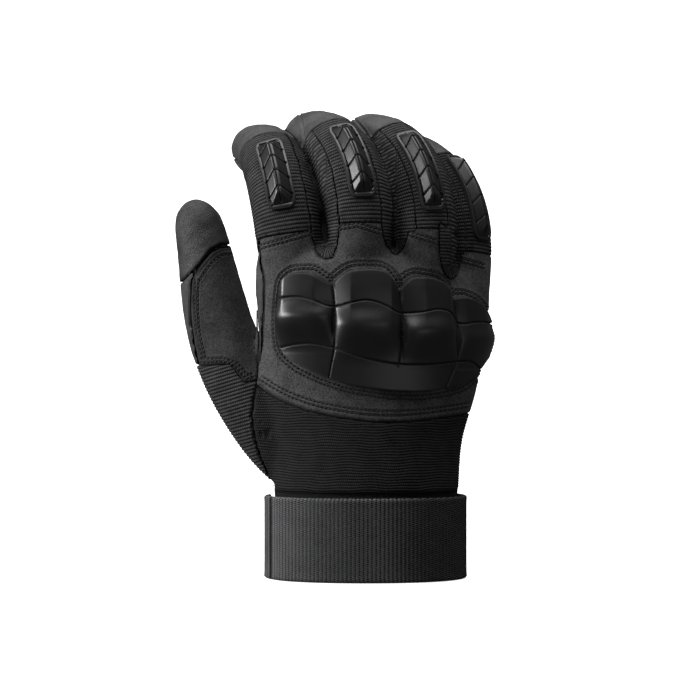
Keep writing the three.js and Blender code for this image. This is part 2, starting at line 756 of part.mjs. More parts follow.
const grooves = union(guardGrooves.map((line) => lineWall(line, knuckle.groove)));
const guard = guardRelief(0)
  .intersect(prism(guardOutline, 0, -90, 40))
  .subtract(outerBody(knuckle.seat))
  .subtract(grooves.subtract(guardRelief(-knuckle.grooveDepth)));
add("knuckle_guard", largest(guard), rubber, tolerance.guard);

// A finger's guard: a rimmed plate on its back panel under a roof, with one groove along it and others
// that slant down from it to both sides
function fingerGuard(f) {
  const [from, to] = f.guard.map((at) => at * f.length);
  const middle = (from + to) / 2;
  const reach = (to - from) / 2;
  const half = (f.width * ridge.share) / 2;
  const body = (inset, steps, section) =>
    fingerSweep(
      f,
      from + inset,
      to - inset,
      (s, w, d) => {
        const end = share((reach - abs(s - middle)) / 5);
        const narrow = 0.55 + 0.45 * sqrt(1 - pow(1 - end, 2));
        return section(s, (half - inset) * narrow, d);
      },
      steps,
    );
  const plate = body(0, 7, (s, w, d) => rectangle(-w, w, d - ridge.plate, d + ridge.seat + ridge.rim));
  const roof = (grow) =>
    body(ridge.rimWidth, 6, (s, bare, deep) => {
      const w = max(0.4, bare + grow);
      const d = deep + ridge.seat;
      const end = share((reach - ridge.rimWidth + 0.3 - abs(s - middle)) / 4);
      const eaves = d + 0.4 + grow;
      const top = d + mix(ridge.rim, ridge.height, end) + grow;
      return [[-w, d - 2], [w, d - 2], [w, eaves], [w * ridge.top, top], [-w * ridge.top, top], [-w, eaves]];
    });
  const thin = ridge.groove / 2;
  const slots = [fingerSweep(f, from + 3, to - 2, (s, w, d) => rectangle(-thin, thin, d - 2, d + 9), 5)];
  for (let n = 1; n < ridge.segments; n++) {
    const s = mix(from, to, n / ridge.segments);
    const frame = fingerFrame(f, s);
    const deep = fingerHalves(f, s, 0)[1];
    for (const way of [-1, 1]) {
      const corners = [deep - 2, deep + 9].flatMap((v) =>
        [-thin, thin].flatMap((off) => [
          inFrame(frame, off + ridge.slant, 0, v).toArray(),
          inFrame(frame, off - ridge.slant, way * 8, v).toArray(),
        ]),
      );
      slots.push(wasm.Manifold.hull(corners));
    }
  }
  const floor = union([roof(-ridge.grooveDepth), fingerBody(f, ridge.seat + 0.8, ...facets.finger)]);
  return union([plate, roof(0)])
    .subtract(union(slots).subtract(floor))
    .subtract(fingerBody(f, ridge.seat, ...facets.finger));
}
for (const f of fingers) add(f.name + "_guard", largest(fingerGuard(f)), rubber, tolerance.ridge);

// The wrist strap: an open band round the cuff, its free end folded on the thumb's side, its other end
// sewn to the palm side
const strapLine = (count, from, to, out) =>
  Array.from({ length: count }, (_, i) => {
    const angle = mix(from, to, i / (count - 1));
    const off = mix(strap.standoff, seamGap, ease((angle - strap.sewnFrom) / strap.sewnOver)) + out;
    return rounded(angle * degree, cuff.width / 2 + off, cuff.depth / 2 + off, hand.square);
  });
const strapBand = (count, from, to, thick) => {
  const section = [...strapLine(count, from, to, 0), ...strapLine(count, from, to, thick).reverse()];
  const turned = section.slice().reverse();
  const cross = new wasm.CrossSection([section], "Positive");
  return (cross.area() > 0 ? cross : new wasm.CrossSection([turned], "Positive")).extrude(strap.height);
};
const strapFold = strapBand(9, strap.foldFrom, strap.foldTo, strap.thick + strap.fold);
const strapBody = strapBand(40, strap.from, strap.to, strap.thick);
add("wrist_strap", union([strapBody, strapFold]), webbing, tolerance.ridge);

export default glove;
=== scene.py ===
"""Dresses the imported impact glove: ribbed knit, suede, leather, moulded guards and a woven wrist strap.

The hand form is worked out in millimetres from the same sizes as the CAD part and is turned into
metres when a mesh is made. +Z runs up the hand, -Y out of its back, and -X points to the thumb.
"""

import logging
import math
from contextlib import contextmanager
from dataclasses import dataclass, field
from enum import Enum
from typing import Callable, Iterator

import bmesh
import bpy
import numpy as np
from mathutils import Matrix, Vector
from mathutils.bvhtree import BVHTree
from mathutils.geometry import delaunay_2d_cdt


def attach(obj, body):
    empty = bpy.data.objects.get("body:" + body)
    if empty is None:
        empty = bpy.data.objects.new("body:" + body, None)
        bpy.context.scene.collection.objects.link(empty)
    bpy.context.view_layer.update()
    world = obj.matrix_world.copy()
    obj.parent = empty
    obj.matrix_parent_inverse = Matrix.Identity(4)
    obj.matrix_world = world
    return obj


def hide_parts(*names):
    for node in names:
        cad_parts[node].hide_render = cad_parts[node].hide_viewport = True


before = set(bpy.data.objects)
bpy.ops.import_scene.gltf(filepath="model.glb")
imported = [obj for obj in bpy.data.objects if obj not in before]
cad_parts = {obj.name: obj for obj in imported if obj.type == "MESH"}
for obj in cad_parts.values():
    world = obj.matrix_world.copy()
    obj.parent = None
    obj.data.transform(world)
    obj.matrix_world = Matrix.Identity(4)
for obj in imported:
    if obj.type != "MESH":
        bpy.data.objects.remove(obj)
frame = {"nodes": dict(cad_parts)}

log = logging.getLogger("glove")
MM = 0.001
SEED = 7
Points = np.ndarray


# Shader maths


@dataclass(frozen=True)
class Value:
    """A socket that can be used in sums."""

    shader: "Shader"
    socket: bpy.types.NodeSocket

    def _math(self, operation: str, *sockets: object) -> "Value":
        """Adds a Math node."""
        return self.shader.node("ShaderNodeMath", {"operation": operation}, dict(enumerate(sockets)))

    def __add__(self, other: object) -> "Value":
        """Self plus other."""
        return self._math("ADD", self, other)

    def __sub__(self, other: object) -> "Value":
        """Self minus other."""
        return self._math("SUBTRACT", self, other)

    def __mul__(self, other: object) -> "Value":
        """Self times other."""
        return self._math("MULTIPLY", self, other)

    def __truediv__(self, other: object) -> "Value":
        """Self over other."""
        return self._math("DIVIDE", self, other)

    def wave(self) -> "Value":
        """A sine of the value, from 0 to 1."""
        return self._math("SINE", self) * 0.5 + 0.5

    def part(self) -> "Value":
        """The value's part after the point."""
        return self._math("FRACT", self)

    def whole(self) -> "Value":
        """The value's part before the point."""
        return self._math("FLOOR", self)

    def within(self, low: float, high: float) -> "Value":
        """The value between two limits as 0 to 1, smoothly."""
        sockets = {"Value": self, "From Min": low, "From Max": high}
        return self.shader.node("ShaderNodeMapRange", {"interpolation_type": "SMOOTHSTEP"}, sockets)


class Shader:
    """A material's nodes, made one by one."""

    def __init__(self, name: str) -> None:
        """Starts an empty material.

        Args:
            name: the material's name.
        """
        self.material = bpy.data.materials.new(name)
        self.material.use_nodes = True
        self.tree = self.material.node_tree
        self.tree.nodes.clear()

    def node(
        self, kind: str, settings: dict | None = None, sockets: dict | None = None, out: int | str = 0
    ) -> Value:
        """Adds any node.

        Args:
            kind: the node's type.
            settings: its own settings, set first.
            sockets: values or links by the socket's name or number.
            out: the output that is handed on.

        Returns:
            The chosen output.
        """
        made = self.tree.nodes.new(kind)
        for name, value in (settings or {}).items():
            setattr(made, name, value)
        for name, value in (sockets or {}).items():
            socket = made.inputs[name]
            if isinstance(value, Value):
                self.tree.links.new(value.socket, socket)
            else:
                socket.default_value = value
        return Value(self, made.outputs[out])

    def place(self) -> Value:
        """The point in the object's own axes, in metres."""
        return self.node("ShaderNodeTexCoord", out="Object")

    def flow(self) -> tuple[Value, Value, Value]:
        """The piece's own measures.

        Returns:
            How far across and along the piece, in millimetres, and a mask from 0 to 1.
        """
        attribute = self.node("ShaderNodeAttribute", {"attribute_name": "flow"}, out="Vector")
        split = attribute.shader.node("ShaderNodeSeparateXYZ", None, {0: attribute})
        outs = split.socket.node.outputs
        return Value(self, outs[0]), Value(self, outs[1]), Value(self, outs[2])

    def noise(self, scale: float, detail: float, rough: float = 0.55) -> Value:
        """Cloudy noise from 0 to 1: cells to a metre, octaves and the weight of the fine ones."""
        sockets = {"Vector": self.place(), "Scale": scale, "Detail": detail, "Roughness": rough}
        return self.node("ShaderNodeTexNoise", None, sockets)

    def cells(self, scale: float) -> Value:
        """A cell pattern, such as leather's grain: 0 at the cells' edges."""
        sockets = {"Vector": self.place(), "Scale": scale}
        return self.node("ShaderNodeTexVoronoi", {"feature": "DISTANCE_TO_EDGE"}, sockets)

    def tint(self, factor: Value, first: tuple, second: tuple) -> Value:
        """Mixes two colours."""
        sockets = {0: factor, 6: (*first, 1), 7: (*second, 1)}
        return self.node("ShaderNodeMix", {"data_type": "RGBA"}, sockets, out=2)

    def bump(self, height: Value, depth: float) -> Value:
        """A bump of a real depth in metres."""
        return self.node("ShaderNodeBump", None, {"Height": height, "Distance": depth, "Strength": 1.0})

    def finish(
        self, colour: Value, rough: object, normal: Value, fixed: dict | None = None
    ) -> bpy.types.Material:
        """Joins the parts in one surface.

        Args:
            colour: the base colour.
            rough: the roughness, a value or a number.
            normal: the bumped normal.
            fixed: settings that are the same all over.

        Returns:
            The material.
        """
        sockets = {"Base Color": colour, "Roughness": rough, "Normal": normal, **(fixed or {})}
        surface = self.node("ShaderNodeBsdfPrincipled", None, sockets)
        made = self.tree.nodes.new("ShaderNodeOutputMaterial")
        self.tree.links.new(surface.socket, made.inputs[0])
        return self.material


# Finishes


@dataclass(frozen=True)
class RibbedKnit:
    """Stretch knit with raised ribs.

    pitch and loop are the ribs' and the loops' width in millimetres, and step is how far one rib's
    loops are shifted from the next one's, as an angle.
    """

    name: str
    pitch: float
    low: tuple = (0.0035, 0.0035, 0.0038)
    high: tuple = (0.07, 0.07, 0.072)
    loop: float = 0.95
    step: float = 2.4

    def make(self) -> bpy.types.Material:
        """Builds the material.

        Returns:
            The material.
        """
        s = Shader(self.name)
        across, along, hem = s.flow()
        rib = along / self.pitch
        # The ribs' valleys are painted darker than their crests, as painted shade.
        crest = (rib.part() * math.pi).wave()
        shift = rib.whole() * self.step
        loops = (across * (2 * math.pi / self.loop) + shift).wave()
        cloud = s.noise(160, 3)
        fuzz = s.noise(2600, 2)
        # hem is a mask of painted shade: above the strap and in the folds between fingers.
        light = crest * (loops * 0.3 + 0.7) * (cloud * 0.6 + 0.7) - hem
        colour = s.tint(light.within(0.4, 1.05), self.low, self.high)
        height = loops * crest * 0.7 + fuzz * 0.5
        return s.finish(colour, 0.82, s.bump(height, 0.00022), {"Specular IOR Level": 0.2})


@dataclass(frozen=True)
class Suede:
    """Napped leather: mottled grey with a fine fuzz."""

    name: str
    low: tuple = (0.02, 0.02, 0.021)
    high: tuple = (0.095, 0.095, 0.098)

    def make(self) -> bpy.types.Material:
        """Builds the material.

        Returns:
            The material.
        """
        s = Shader(self.name)
        _, _, band = s.flow()
        cloud = s.noise(110, 4, 0.6)
        nap = s.noise(1300, 3, 0.75)
        # band paints the suede darker next to its seams, as painted shade, and along the raised band at
        # the thumb's tip.
        light = cloud * 0.5 + nap * 1.3 - band * 0.5
        colour = s.tint(light.within(0.6, 1.2), self.low, self.high)
        fixed = {"Specular IOR Level": 0.2, "Sheen Weight": 0.05, "Sheen Roughness": 0.6}
        return s.finish(colour, 0.93, s.bump(nap + cloud * 0.4, 0.00028), fixed)


@dataclass(frozen=True)
class Leather:
    """Smooth synthetic leather with a fine pebble grain and soft creases."""

    name: str
    low: tuple
    high: tuple
    rough: float = 0.6

    def make(self) -> bpy.types.Material:
        """Builds the material.

        Returns:
            The material.
        """
        s = Shader(self.name)
        _, _, seam = s.flow()
        grain = s.cells(1300)
        cloud = s.noise(70, 4, 0.55)
        fine = s.noise(1900, 2)
        worn = s.noise(260, 3, 0.7)
        # seam paints the leather darker next to its seams, as painted shade.
        light = cloud * 0.7 + worn * 0.45 + fine * 0.15 - seam * 0.7
        colour = s.tint(light.within(0.3, 0.9), self.low, self.high)
        rough = worn * 0.2 + (self.rough - 0.1)
        height = grain.within(0.0, 0.25) * 0.6 + fine * 0.5 + worn * 0.4
        return s.finish(colour, rough, s.bump(height, 0.00016), {"Specular IOR Level": 0.35})


@dataclass(frozen=True)
class GuardRubber:
    """Moulded rubber: near black, semi-gloss, with a slight cloud in its gloss."""

    name: str

    def make(self) -> bpy.types.Material:
        """Builds the material.

        Returns:
            The material.
        """
        s = Shader(self.name)
        _, _, edge = s.flow()
        cloud = s.noise(60, 3)
        fine = s.noise(2400, 2)
        colour = s.tint(cloud.within(0.3, 0.8), (0.0045, 0.0045, 0.0048), (0.0085, 0.0085, 0.0088))
        rough = cloud * 0.12 + fine * 0.06 + edge * 0.5 + 0.26
        return s.finish(colour, rough, s.bump(fine, 0.00002), {"IOR": 1.5})


@dataclass(frozen=True)
class Webbing:
    """Woven elastic: upright cords crossed by fine weft, in millimetres.

    flat says between which lengths of the strap its cords turn flat and the weft shows more, and the
    colour is painted darker there, painted shade on the strap's side away from the key light.
    """

    name: str
    cord: float = 1.95
    weft: float = 1.0
    flat: tuple[float, float] = (78, 104)

    def make(self) -> bpy.types.Material:
        """Builds the material.

        Returns:
            The material.
        """
        s = Shader(self.name)
        across, along, seam = s.flow()
        flat = across.within(*self.flat)
        cords = (across * (2 * math.pi / self.cord)).wave()
        weft = (along * (2 * math.pi / self.weft) + (across / self.cord).whole() * math.pi).wave()
        fuzz = s.noise(2200, 3)
        cloud = s.noise(90, 3)
        # Where flat rises the weave turns flatter and the colour darker; the darkening is painted shade on
        # the side away from the key light.
        woven = cords * (flat * -0.5 + 0.65) + weft * (flat * 0.2 + 0.35)
        light = woven + fuzz * 0.5 + cloud * 0.25 - flat * 0.12 - seam * 1.5
        colour = s.tint(light.within(0.4, 1.45), (0.004, 0.004, 0.0044), (0.17, 0.17, 0.174))
        height = cords * 0.5 + weft * 0.7 + fuzz * 0.4
        return s.finish(colour, 0.86, s.bump(height, 0.0003), {"Specular IOR Level": 0.25})


@dataclass(frozen=True)
class Thread:
    """Waxed black sewing thread."""

    name: str

    def make(self) -> bpy.types.Material:
        """Builds the material.

        Returns:
            The material.
        """
        s = Shader(self.name)
        twist = s.noise(5200, 2)
        colour = s.tint(twist, (0.004, 0.004, 0.004), (0.02, 0.02, 0.021))
        return s.finish(colour, 0.7, s.bump(twist, 0.00006))


@dataclass(frozen=True)
class StudioPaint:
    """The pale studio floor."""

    name: str
    grey: float = 0.9
    glow: float = 0.95

    def make(self) -> bpy.types.Material:
        """Builds the material.

        Returns:
            The material.
        """
        s = Shader(self.name)
        cloud = s.noise(3, 2)
        colour = s.tint(cloud, (self.grey,) * 3, (self.grey * 0.99,) * 3)
        fixed = {"Emission Color": (1, 1, 1, 1), "Emission Strength": self.glow}
        return s.finish(colour, 0.9, s.bump(cloud, 0.00001), fixed)


# Small geometry helpers, all in millimetres


def even_angles(count: int) -> Points:
    """Angles at even steps round a full turn."""
    return np.arange(count) / count * 2 * math.pi


def rounded(
    angle: Points, half_width: Points, half_depth: Points, square: float
) -> tuple[Points, Points]:
    """Points of a rounded-square curve.

    Args:
        angle: the angles.
        half_width: half its width.
        half_depth: half its depth.
        square: 2 is an ellipse, more is squarer.

    Returns:
        The places across and along the depth.
    """
    c, s = np.cos(angle), np.sin(angle)
    bulge = 2 / square
    return half_width * np.sign(c) * np.abs(c) ** bulge, half_depth * np.sign(s) * np.abs(s) ** bulge


def smooth_table(table: Points, at: Points) -> Points:
    """Reads every column of a table at places of its first, on a smooth curve through its rows.

    Args:
        table: rows of numbers, the first column rising.
        at: where it is read.

    Returns:
        One row for each place.
    """
    x = table[:, 0]
    slope = np.gradient(table, x, axis=0)
    at = np.clip(np.atleast_1d(at), x[0], x[-1])
    i = np.clip(np.searchsorted(x, at, side="right") - 1, 0, len(x) - 2)
    wide = x[i + 1] - x[i]
    t = ((at - x[i]) / wide)[:, None]
    wide = wide[:, None]
    a, b, m, n = table[i], table[i + 1], slope[i] * wide, slope[i + 1] * wide
    return (
        (2 * t**3 - 3 * t**2 + 1) * a
        + (t**3 - 2 * t**2 + t) * m
        + (3 * t**2 - 2 * t**3) * b
        + (t**3 - t**2) * n
    )


def unit(v: Points) -> Points:
    """Vectors of length one."""
    return v / np.maximum(np.linalg.norm(v, axis=-1, keepdims=True), 1e-9)


def ease(t: Points) -> Points:
    """A smooth step of 0 to 1."""
    t = np.clip(t, 0, 1)
    return t * t * (3 - 2 * t)


def hump(off: Points, width: float) -> Points:
    """A smooth rise of height one at zero."""
    return np.exp(-((off / width) ** 2))


def quarter_round(t: Points) -> Points:
    """How far a rolled edge drops: 1 at its rim, where t is 0, and 0 past the roll, where t is 1."""
    return 1 - np.sqrt(1 - (1 - t) ** 2)


def closed(line: Points) -> Points:
    """A line that ends where it starts."""
    return np.concatenate([line, line[:1]])


def line_distance(points: Points, line: Points) -> Points:
    """How far flat points are from a line of straight runs.

    Args:
        points: the flat points.
        line: the line's corners.

    Returns:
        One distance for each point.
    """
    best = np.full(len(points), 1e9)
    for a, b in zip(line[:-1], line[1:]):
        run = b - a
        t = np.clip(((points - a) @ run) / max(run @ run, 1e-9), 0, 1)
        gap = points - a - t[:, None] * run
        best = np.minimum(best, np.einsum("ij,ij->i", gap, gap))
    return np.sqrt(best)


def along_line(line: Points, step: float) -> Points:
    """Points at even steps along a line, its ends kept.

    Args:
        line: the line's corners.
        step: about how far apart the points are.

    Returns:
        The points.
    """
    runs = np.linalg.norm(np.diff(line, axis=0), axis=1)
    length = np.concatenate([[0], np.cumsum(runs)])
    at = np.linspace(0, length[-1], max(2, int(round(length[-1] / step)) + 1))
    return np.stack([np.interp(at, length, line[:, k]) for k in range(line.shape[1])], 1)


def rounded_line(line: Points, times: int = 2, is_loop: bool = False) -> Points:
    """A line with its corners cut round.

    Args:
        line: the line's corners.
        times: how often every corner is cut.
        is_loop: whether the last corner joins the first.

    Returns:
        The new corners.
    """
    for _ in range(times):
        nxt = np.roll(line, -1, 0) if is_loop else line[1:]
        now = line if is_loop else line[:-1]
        cut = np.stack([now * 0.75 + nxt * 0.25, now * 0.25 + nxt * 0.75], 1).reshape(-1, line.shape[1])
        line = cut if is_loop else np.concatenate([line[:1], cut, line[-1:]])
    return line


def loop_normals(loop: Points) -> Points:
    """The way to the left of a loop's run, at each of its points."""
    run = unit(np.roll(loop, -1, 0) - np.roll(loop, 1, 0))
    return np.stack([-run[:, 1], run[:, 0]], 1)


def shifted(line: Points, off: float) -> Points:
    """A flat line moved to its left by a distance."""
    run = unit(np.gradient(line, axis=0))
    return line + off * np.stack([-run[:, 1], run[:, 0]], 1)


def inside(points: Points, loop: Points) -> Points:
    """Which flat points lie in a closed loop.

    Args:
        points: the flat points.
        loop: the loop's corners.

    Returns:
        True or false for each point.
    """
    x, y = points[:, 0], points[:, 1]
    hit = np.zeros(len(points), bool)
    for (x0, y0), (x1, y1) in zip(loop, np.roll(loop, -1, 0)):
        crosses = (y0 > y) != (y1 > y)
        hit ^= crosses & (x < (x1 - x0) * (y - y0) / (y1 - y0 if y1 != y0 else 1e-9) + x0)
    return hit


def linked(name: str, data: bpy.types.ID) -> bpy.types.Object:
    """Puts data into the scene as a new object.

    Args:
        name: the object's name.
        data: its mesh, lamp or camera.

    Returns:
        The object.
    """
    made = bpy.data.objects.new(name, data)
    bpy.context.scene.collection.objects.link(made)
    return made


def new_object(name: str, points: Points, faces: list) -> bpy.types.Object:
    """Makes a mesh object from millimetre points.

    Args:
        name: its name.
        points: its points.
        faces: its faces, as lists of point numbers.

    Returns:
        The linked object.
    """
    mesh = bpy.data.meshes.new(name)
    mesh.from_pydata((np.asarray(points) * MM).tolist(), [], [list(map(int, f)) for f in faces])
    mesh.update()
    return linked(name, mesh)


def only(target: bpy.types.Object) -> None:
    """Selects one object alone.

    Args:
        target: the object.
    """
    for other in bpy.context.selected_objects:
        other.select_set(False)
    target.select_set(True)
    bpy.context.view_layer.objects.active = target


def points_of(target: bpy.types.Object) -> Points:
    """A mesh's points.

    Args:
        target: the object.

    Returns:
        Its points in millimetres.
    """
    co = np.empty(len(target.data.vertices) * 3)
    target.data.vertices.foreach_get("co", co)
    return co.reshape(-1, 3) / MM


def place_points(target: bpy.types.Object, points: Points) -> None:
    """Moves a mesh's points, given in millimetres."""
    target.data.vertices.foreach_set("co", (points * MM).astype(np.float32).ravel())
    target.data.update()


def edit_all(target: bpy.types.Object, operator: Callable, **options: object) -> None:
    """Runs an edit mode operator on a whole mesh.

    Args:
        target: the object.
        operator: the operator.
        options: its options.
    """
    only(target)
    bpy.ops.object.mode_set(mode="EDIT")
    bpy.ops.mesh.select_all(action="SELECT")
    operator(**options)
    bpy.ops.object.mode_set(mode="OBJECT")


def modified(target: bpy.types.Object, kind: str, **settings: object) -> None:
    """Applies a modifier to an object.

    Args:
        target: the object.
        kind: the modifier's type.
        settings: its settings.
    """
    only(target)
    modifier = target.modifiers.new(kind.lower(), kind)
    for name, value in settings.items():
        setattr(modifier, name, value)
    bpy.ops.object.modifier_apply(modifier=modifier.name)


@contextmanager
def opened(target: bpy.types.Object) -> Iterator[bmesh.types.BMesh]:
    """Opens a mesh to be cut, and writes it back at the end.

    Args:
        target: the object.

    Returns:
        The open mesh.
    """
    bm = bmesh.new()
    bm.from_mesh(target.data)
    bm.verts.ensure_lookup_table()
    yield bm
    bm.to_mesh(target.data)
    bm.free()


def remesh(target: bpy.types.Object, grain: float) -> None:
    """Remakes a closed mesh in even squares of a size in millimetres."""
    modified(target, "REMESH", mode="VOXEL", voxel_size=grain * MM, adaptivity=0)


def softened(target: bpy.types.Object, times: int) -> None:
    """Evens out a mesh by moving each point half-way to the middle of its neighbours.

    Args:
        target: the object.
        times: rounds.
    """
    count = len(target.data.edges)
    ends = np.empty(count * 2, int)
    target.data.edges.foreach_get("vertices", ends)
    a, b = ends.reshape(-1, 2).T
    points = points_of(target)
    size = len(points)
    total = np.bincount(a, minlength=size) + np.bincount(b, minlength=size)
    for _ in range(times):
        middle = np.zeros_like(points)
        for k in range(3):
            middle[:, k] = np.bincount(a, points[b, k], size) + np.bincount(b, points[a, k], size)
        points += 0.5 * (middle / np.maximum(total, 1)[:, None] - points)
    place_points(target, points)


def tree_of(targets: list[bpy.types.Object]) -> BVHTree:
    """A search tree of meshes.

    Args:
        targets: the objects.

    Returns:
        The tree, in millimetres.
    """
    places, faces = [], []
    for target in targets:
        start = len(places)
        places += points_of(target).tolist()
        faces += [[start + v for v in p.vertices] for p in target.data.polygons]
    return BVHTree.FromPolygons(places, faces)


def nearest(tree: BVHTree, points: Points) -> tuple[Points, Points, Points]:
    """The nearest places of a surface.

    Args:
        tree: the surface.
        points: the points that it is near to.

    Returns:
        The places, their normals and their distances.
    """
    found = [tree.find_nearest(p) for p in points.tolist()]
    return tuple(np.array([f[k] for f in found]) for k in (0, 1, 3))


def shade_smooth(target: bpy.types.Object, angle: float) -> None:
    """Shades an object smooth, with edges past an angle kept sharp."""
    only(target)
    bpy.ops.object.shade_smooth_by_angle(angle=math.radians(angle))


def put_flow(target: bpy.types.Object, flow: Points) -> None:
    """Stores a piece's own measures for its material."""
    attribute = target.data.attributes.new("flow", "FLOAT_VECTOR", "POINT")
    attribute.data.foreach_set("vector", flow.astype(np.float32).ravel())


def dress(target: bpy.types.Object, material: bpy.types.Material, slot: str, *nodes: str) -> None:
    """Finishes a piece.

    Args:
        target: the object.
        material: its material.
        slot: its material slot; not used.
        nodes: the CAD nodes that it stands for.
    """
    target.data.materials.clear()
    target.data.materials.append(material)
    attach(target, "root")
    if nodes:
        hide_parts(*nodes)
    triangles = sum(len(p.vertices) - 2 for p in target.data.polygons)
    log.info("%s: %d triangles", target.name, triangles)


# The hand form


@dataclass(frozen=True)
class Finger:
    """A finger's place, size and bend, as in the CAD part.

    seam is where its seam lies, as shares of the hand's width, depth and length. size is its width,
    depth and length. turn, lean, sway, bend and roll are in degrees. sunk moves its root to the palm
    side. guard is the reach of its guard as shares of its length. full is how much fuller its left
    and right sides are, and soft is what the smooth form adds to them and from which length on.
    """

    name: str
    seam: tuple[float, float, float]
    size: tuple[float, float, float]
    turn: float
    lean: float
    sway: float
    bend: float
    roll: float
    sunk: float
    guard: tuple[float, float]
    full: tuple[float, float]
    soft: tuple[float, float, float]

    @property
    def width(self) -> float:
        """Its width in millimetres."""
        return self.size[0]

    @property
    def depth(self) -> float:
        """Its depth in millimetres."""
        return self.size[1]

    @property
    def length(self) -> float:
        """Its length in millimetres."""
        return self.size[2]


FINGERS = (
    Finger(
        "index", (-0.336, 0.06, 0.985), (31.3, 28.8, 85), turn=1, lean=-7.5, sway=-19, bend=99, roll=-4,
        sunk=0, guard=(0.11, 0.5), full=(0, 0.4), soft=(0, 0.45, -6),
    ),
    Finger(
        "middle", (-0.03, -0.03, 1.015), (30, 27.2, 88), turn=30, lean=1, sway=-0.3, bend=104, roll=-18,
        sunk=0, guard=(0.11, 0.52), full=(1.6, 0), soft=(0.65, 0.4, -6),
    ),
    Finger(
        "ring", (0.262, 0.1, 1.0), (28.5, 27, 86), turn=36, lean=1, sway=-0.5, bend=98, roll=-19,
        sunk=0, guard=(0.08, 0.52), full=(0, 0), soft=(2.6, 0.4, -17),
    ),
    Finger(
        "little", (0.438, 0.56, 0.935), (25.2, 26, 84), turn=46, lean=6, sway=-1.5, bend=86, roll=-6,
        sunk=8, guard=(0.06, 0.55), full=(0.3, 0), soft=(0.9, 0, 2),
    ),
)  # fmt: skip


@dataclass(frozen=True)
class Fineness:
    """How finely a form is laid out: points round and rings along, of the palm and of each finger."""

    palm_sides: int
    palm_rows: int | None
    sides: int
    rows: int
    soft: bool = True


class Forms(Enum):
    """The forms that are made of the hand."""

    FACETED = Fineness(30, None, 16, 11, soft=False)
    SMOOTH = Fineness(72, 60, 48, 60)
    LINING = Fineness(72, 60, 32, 44)


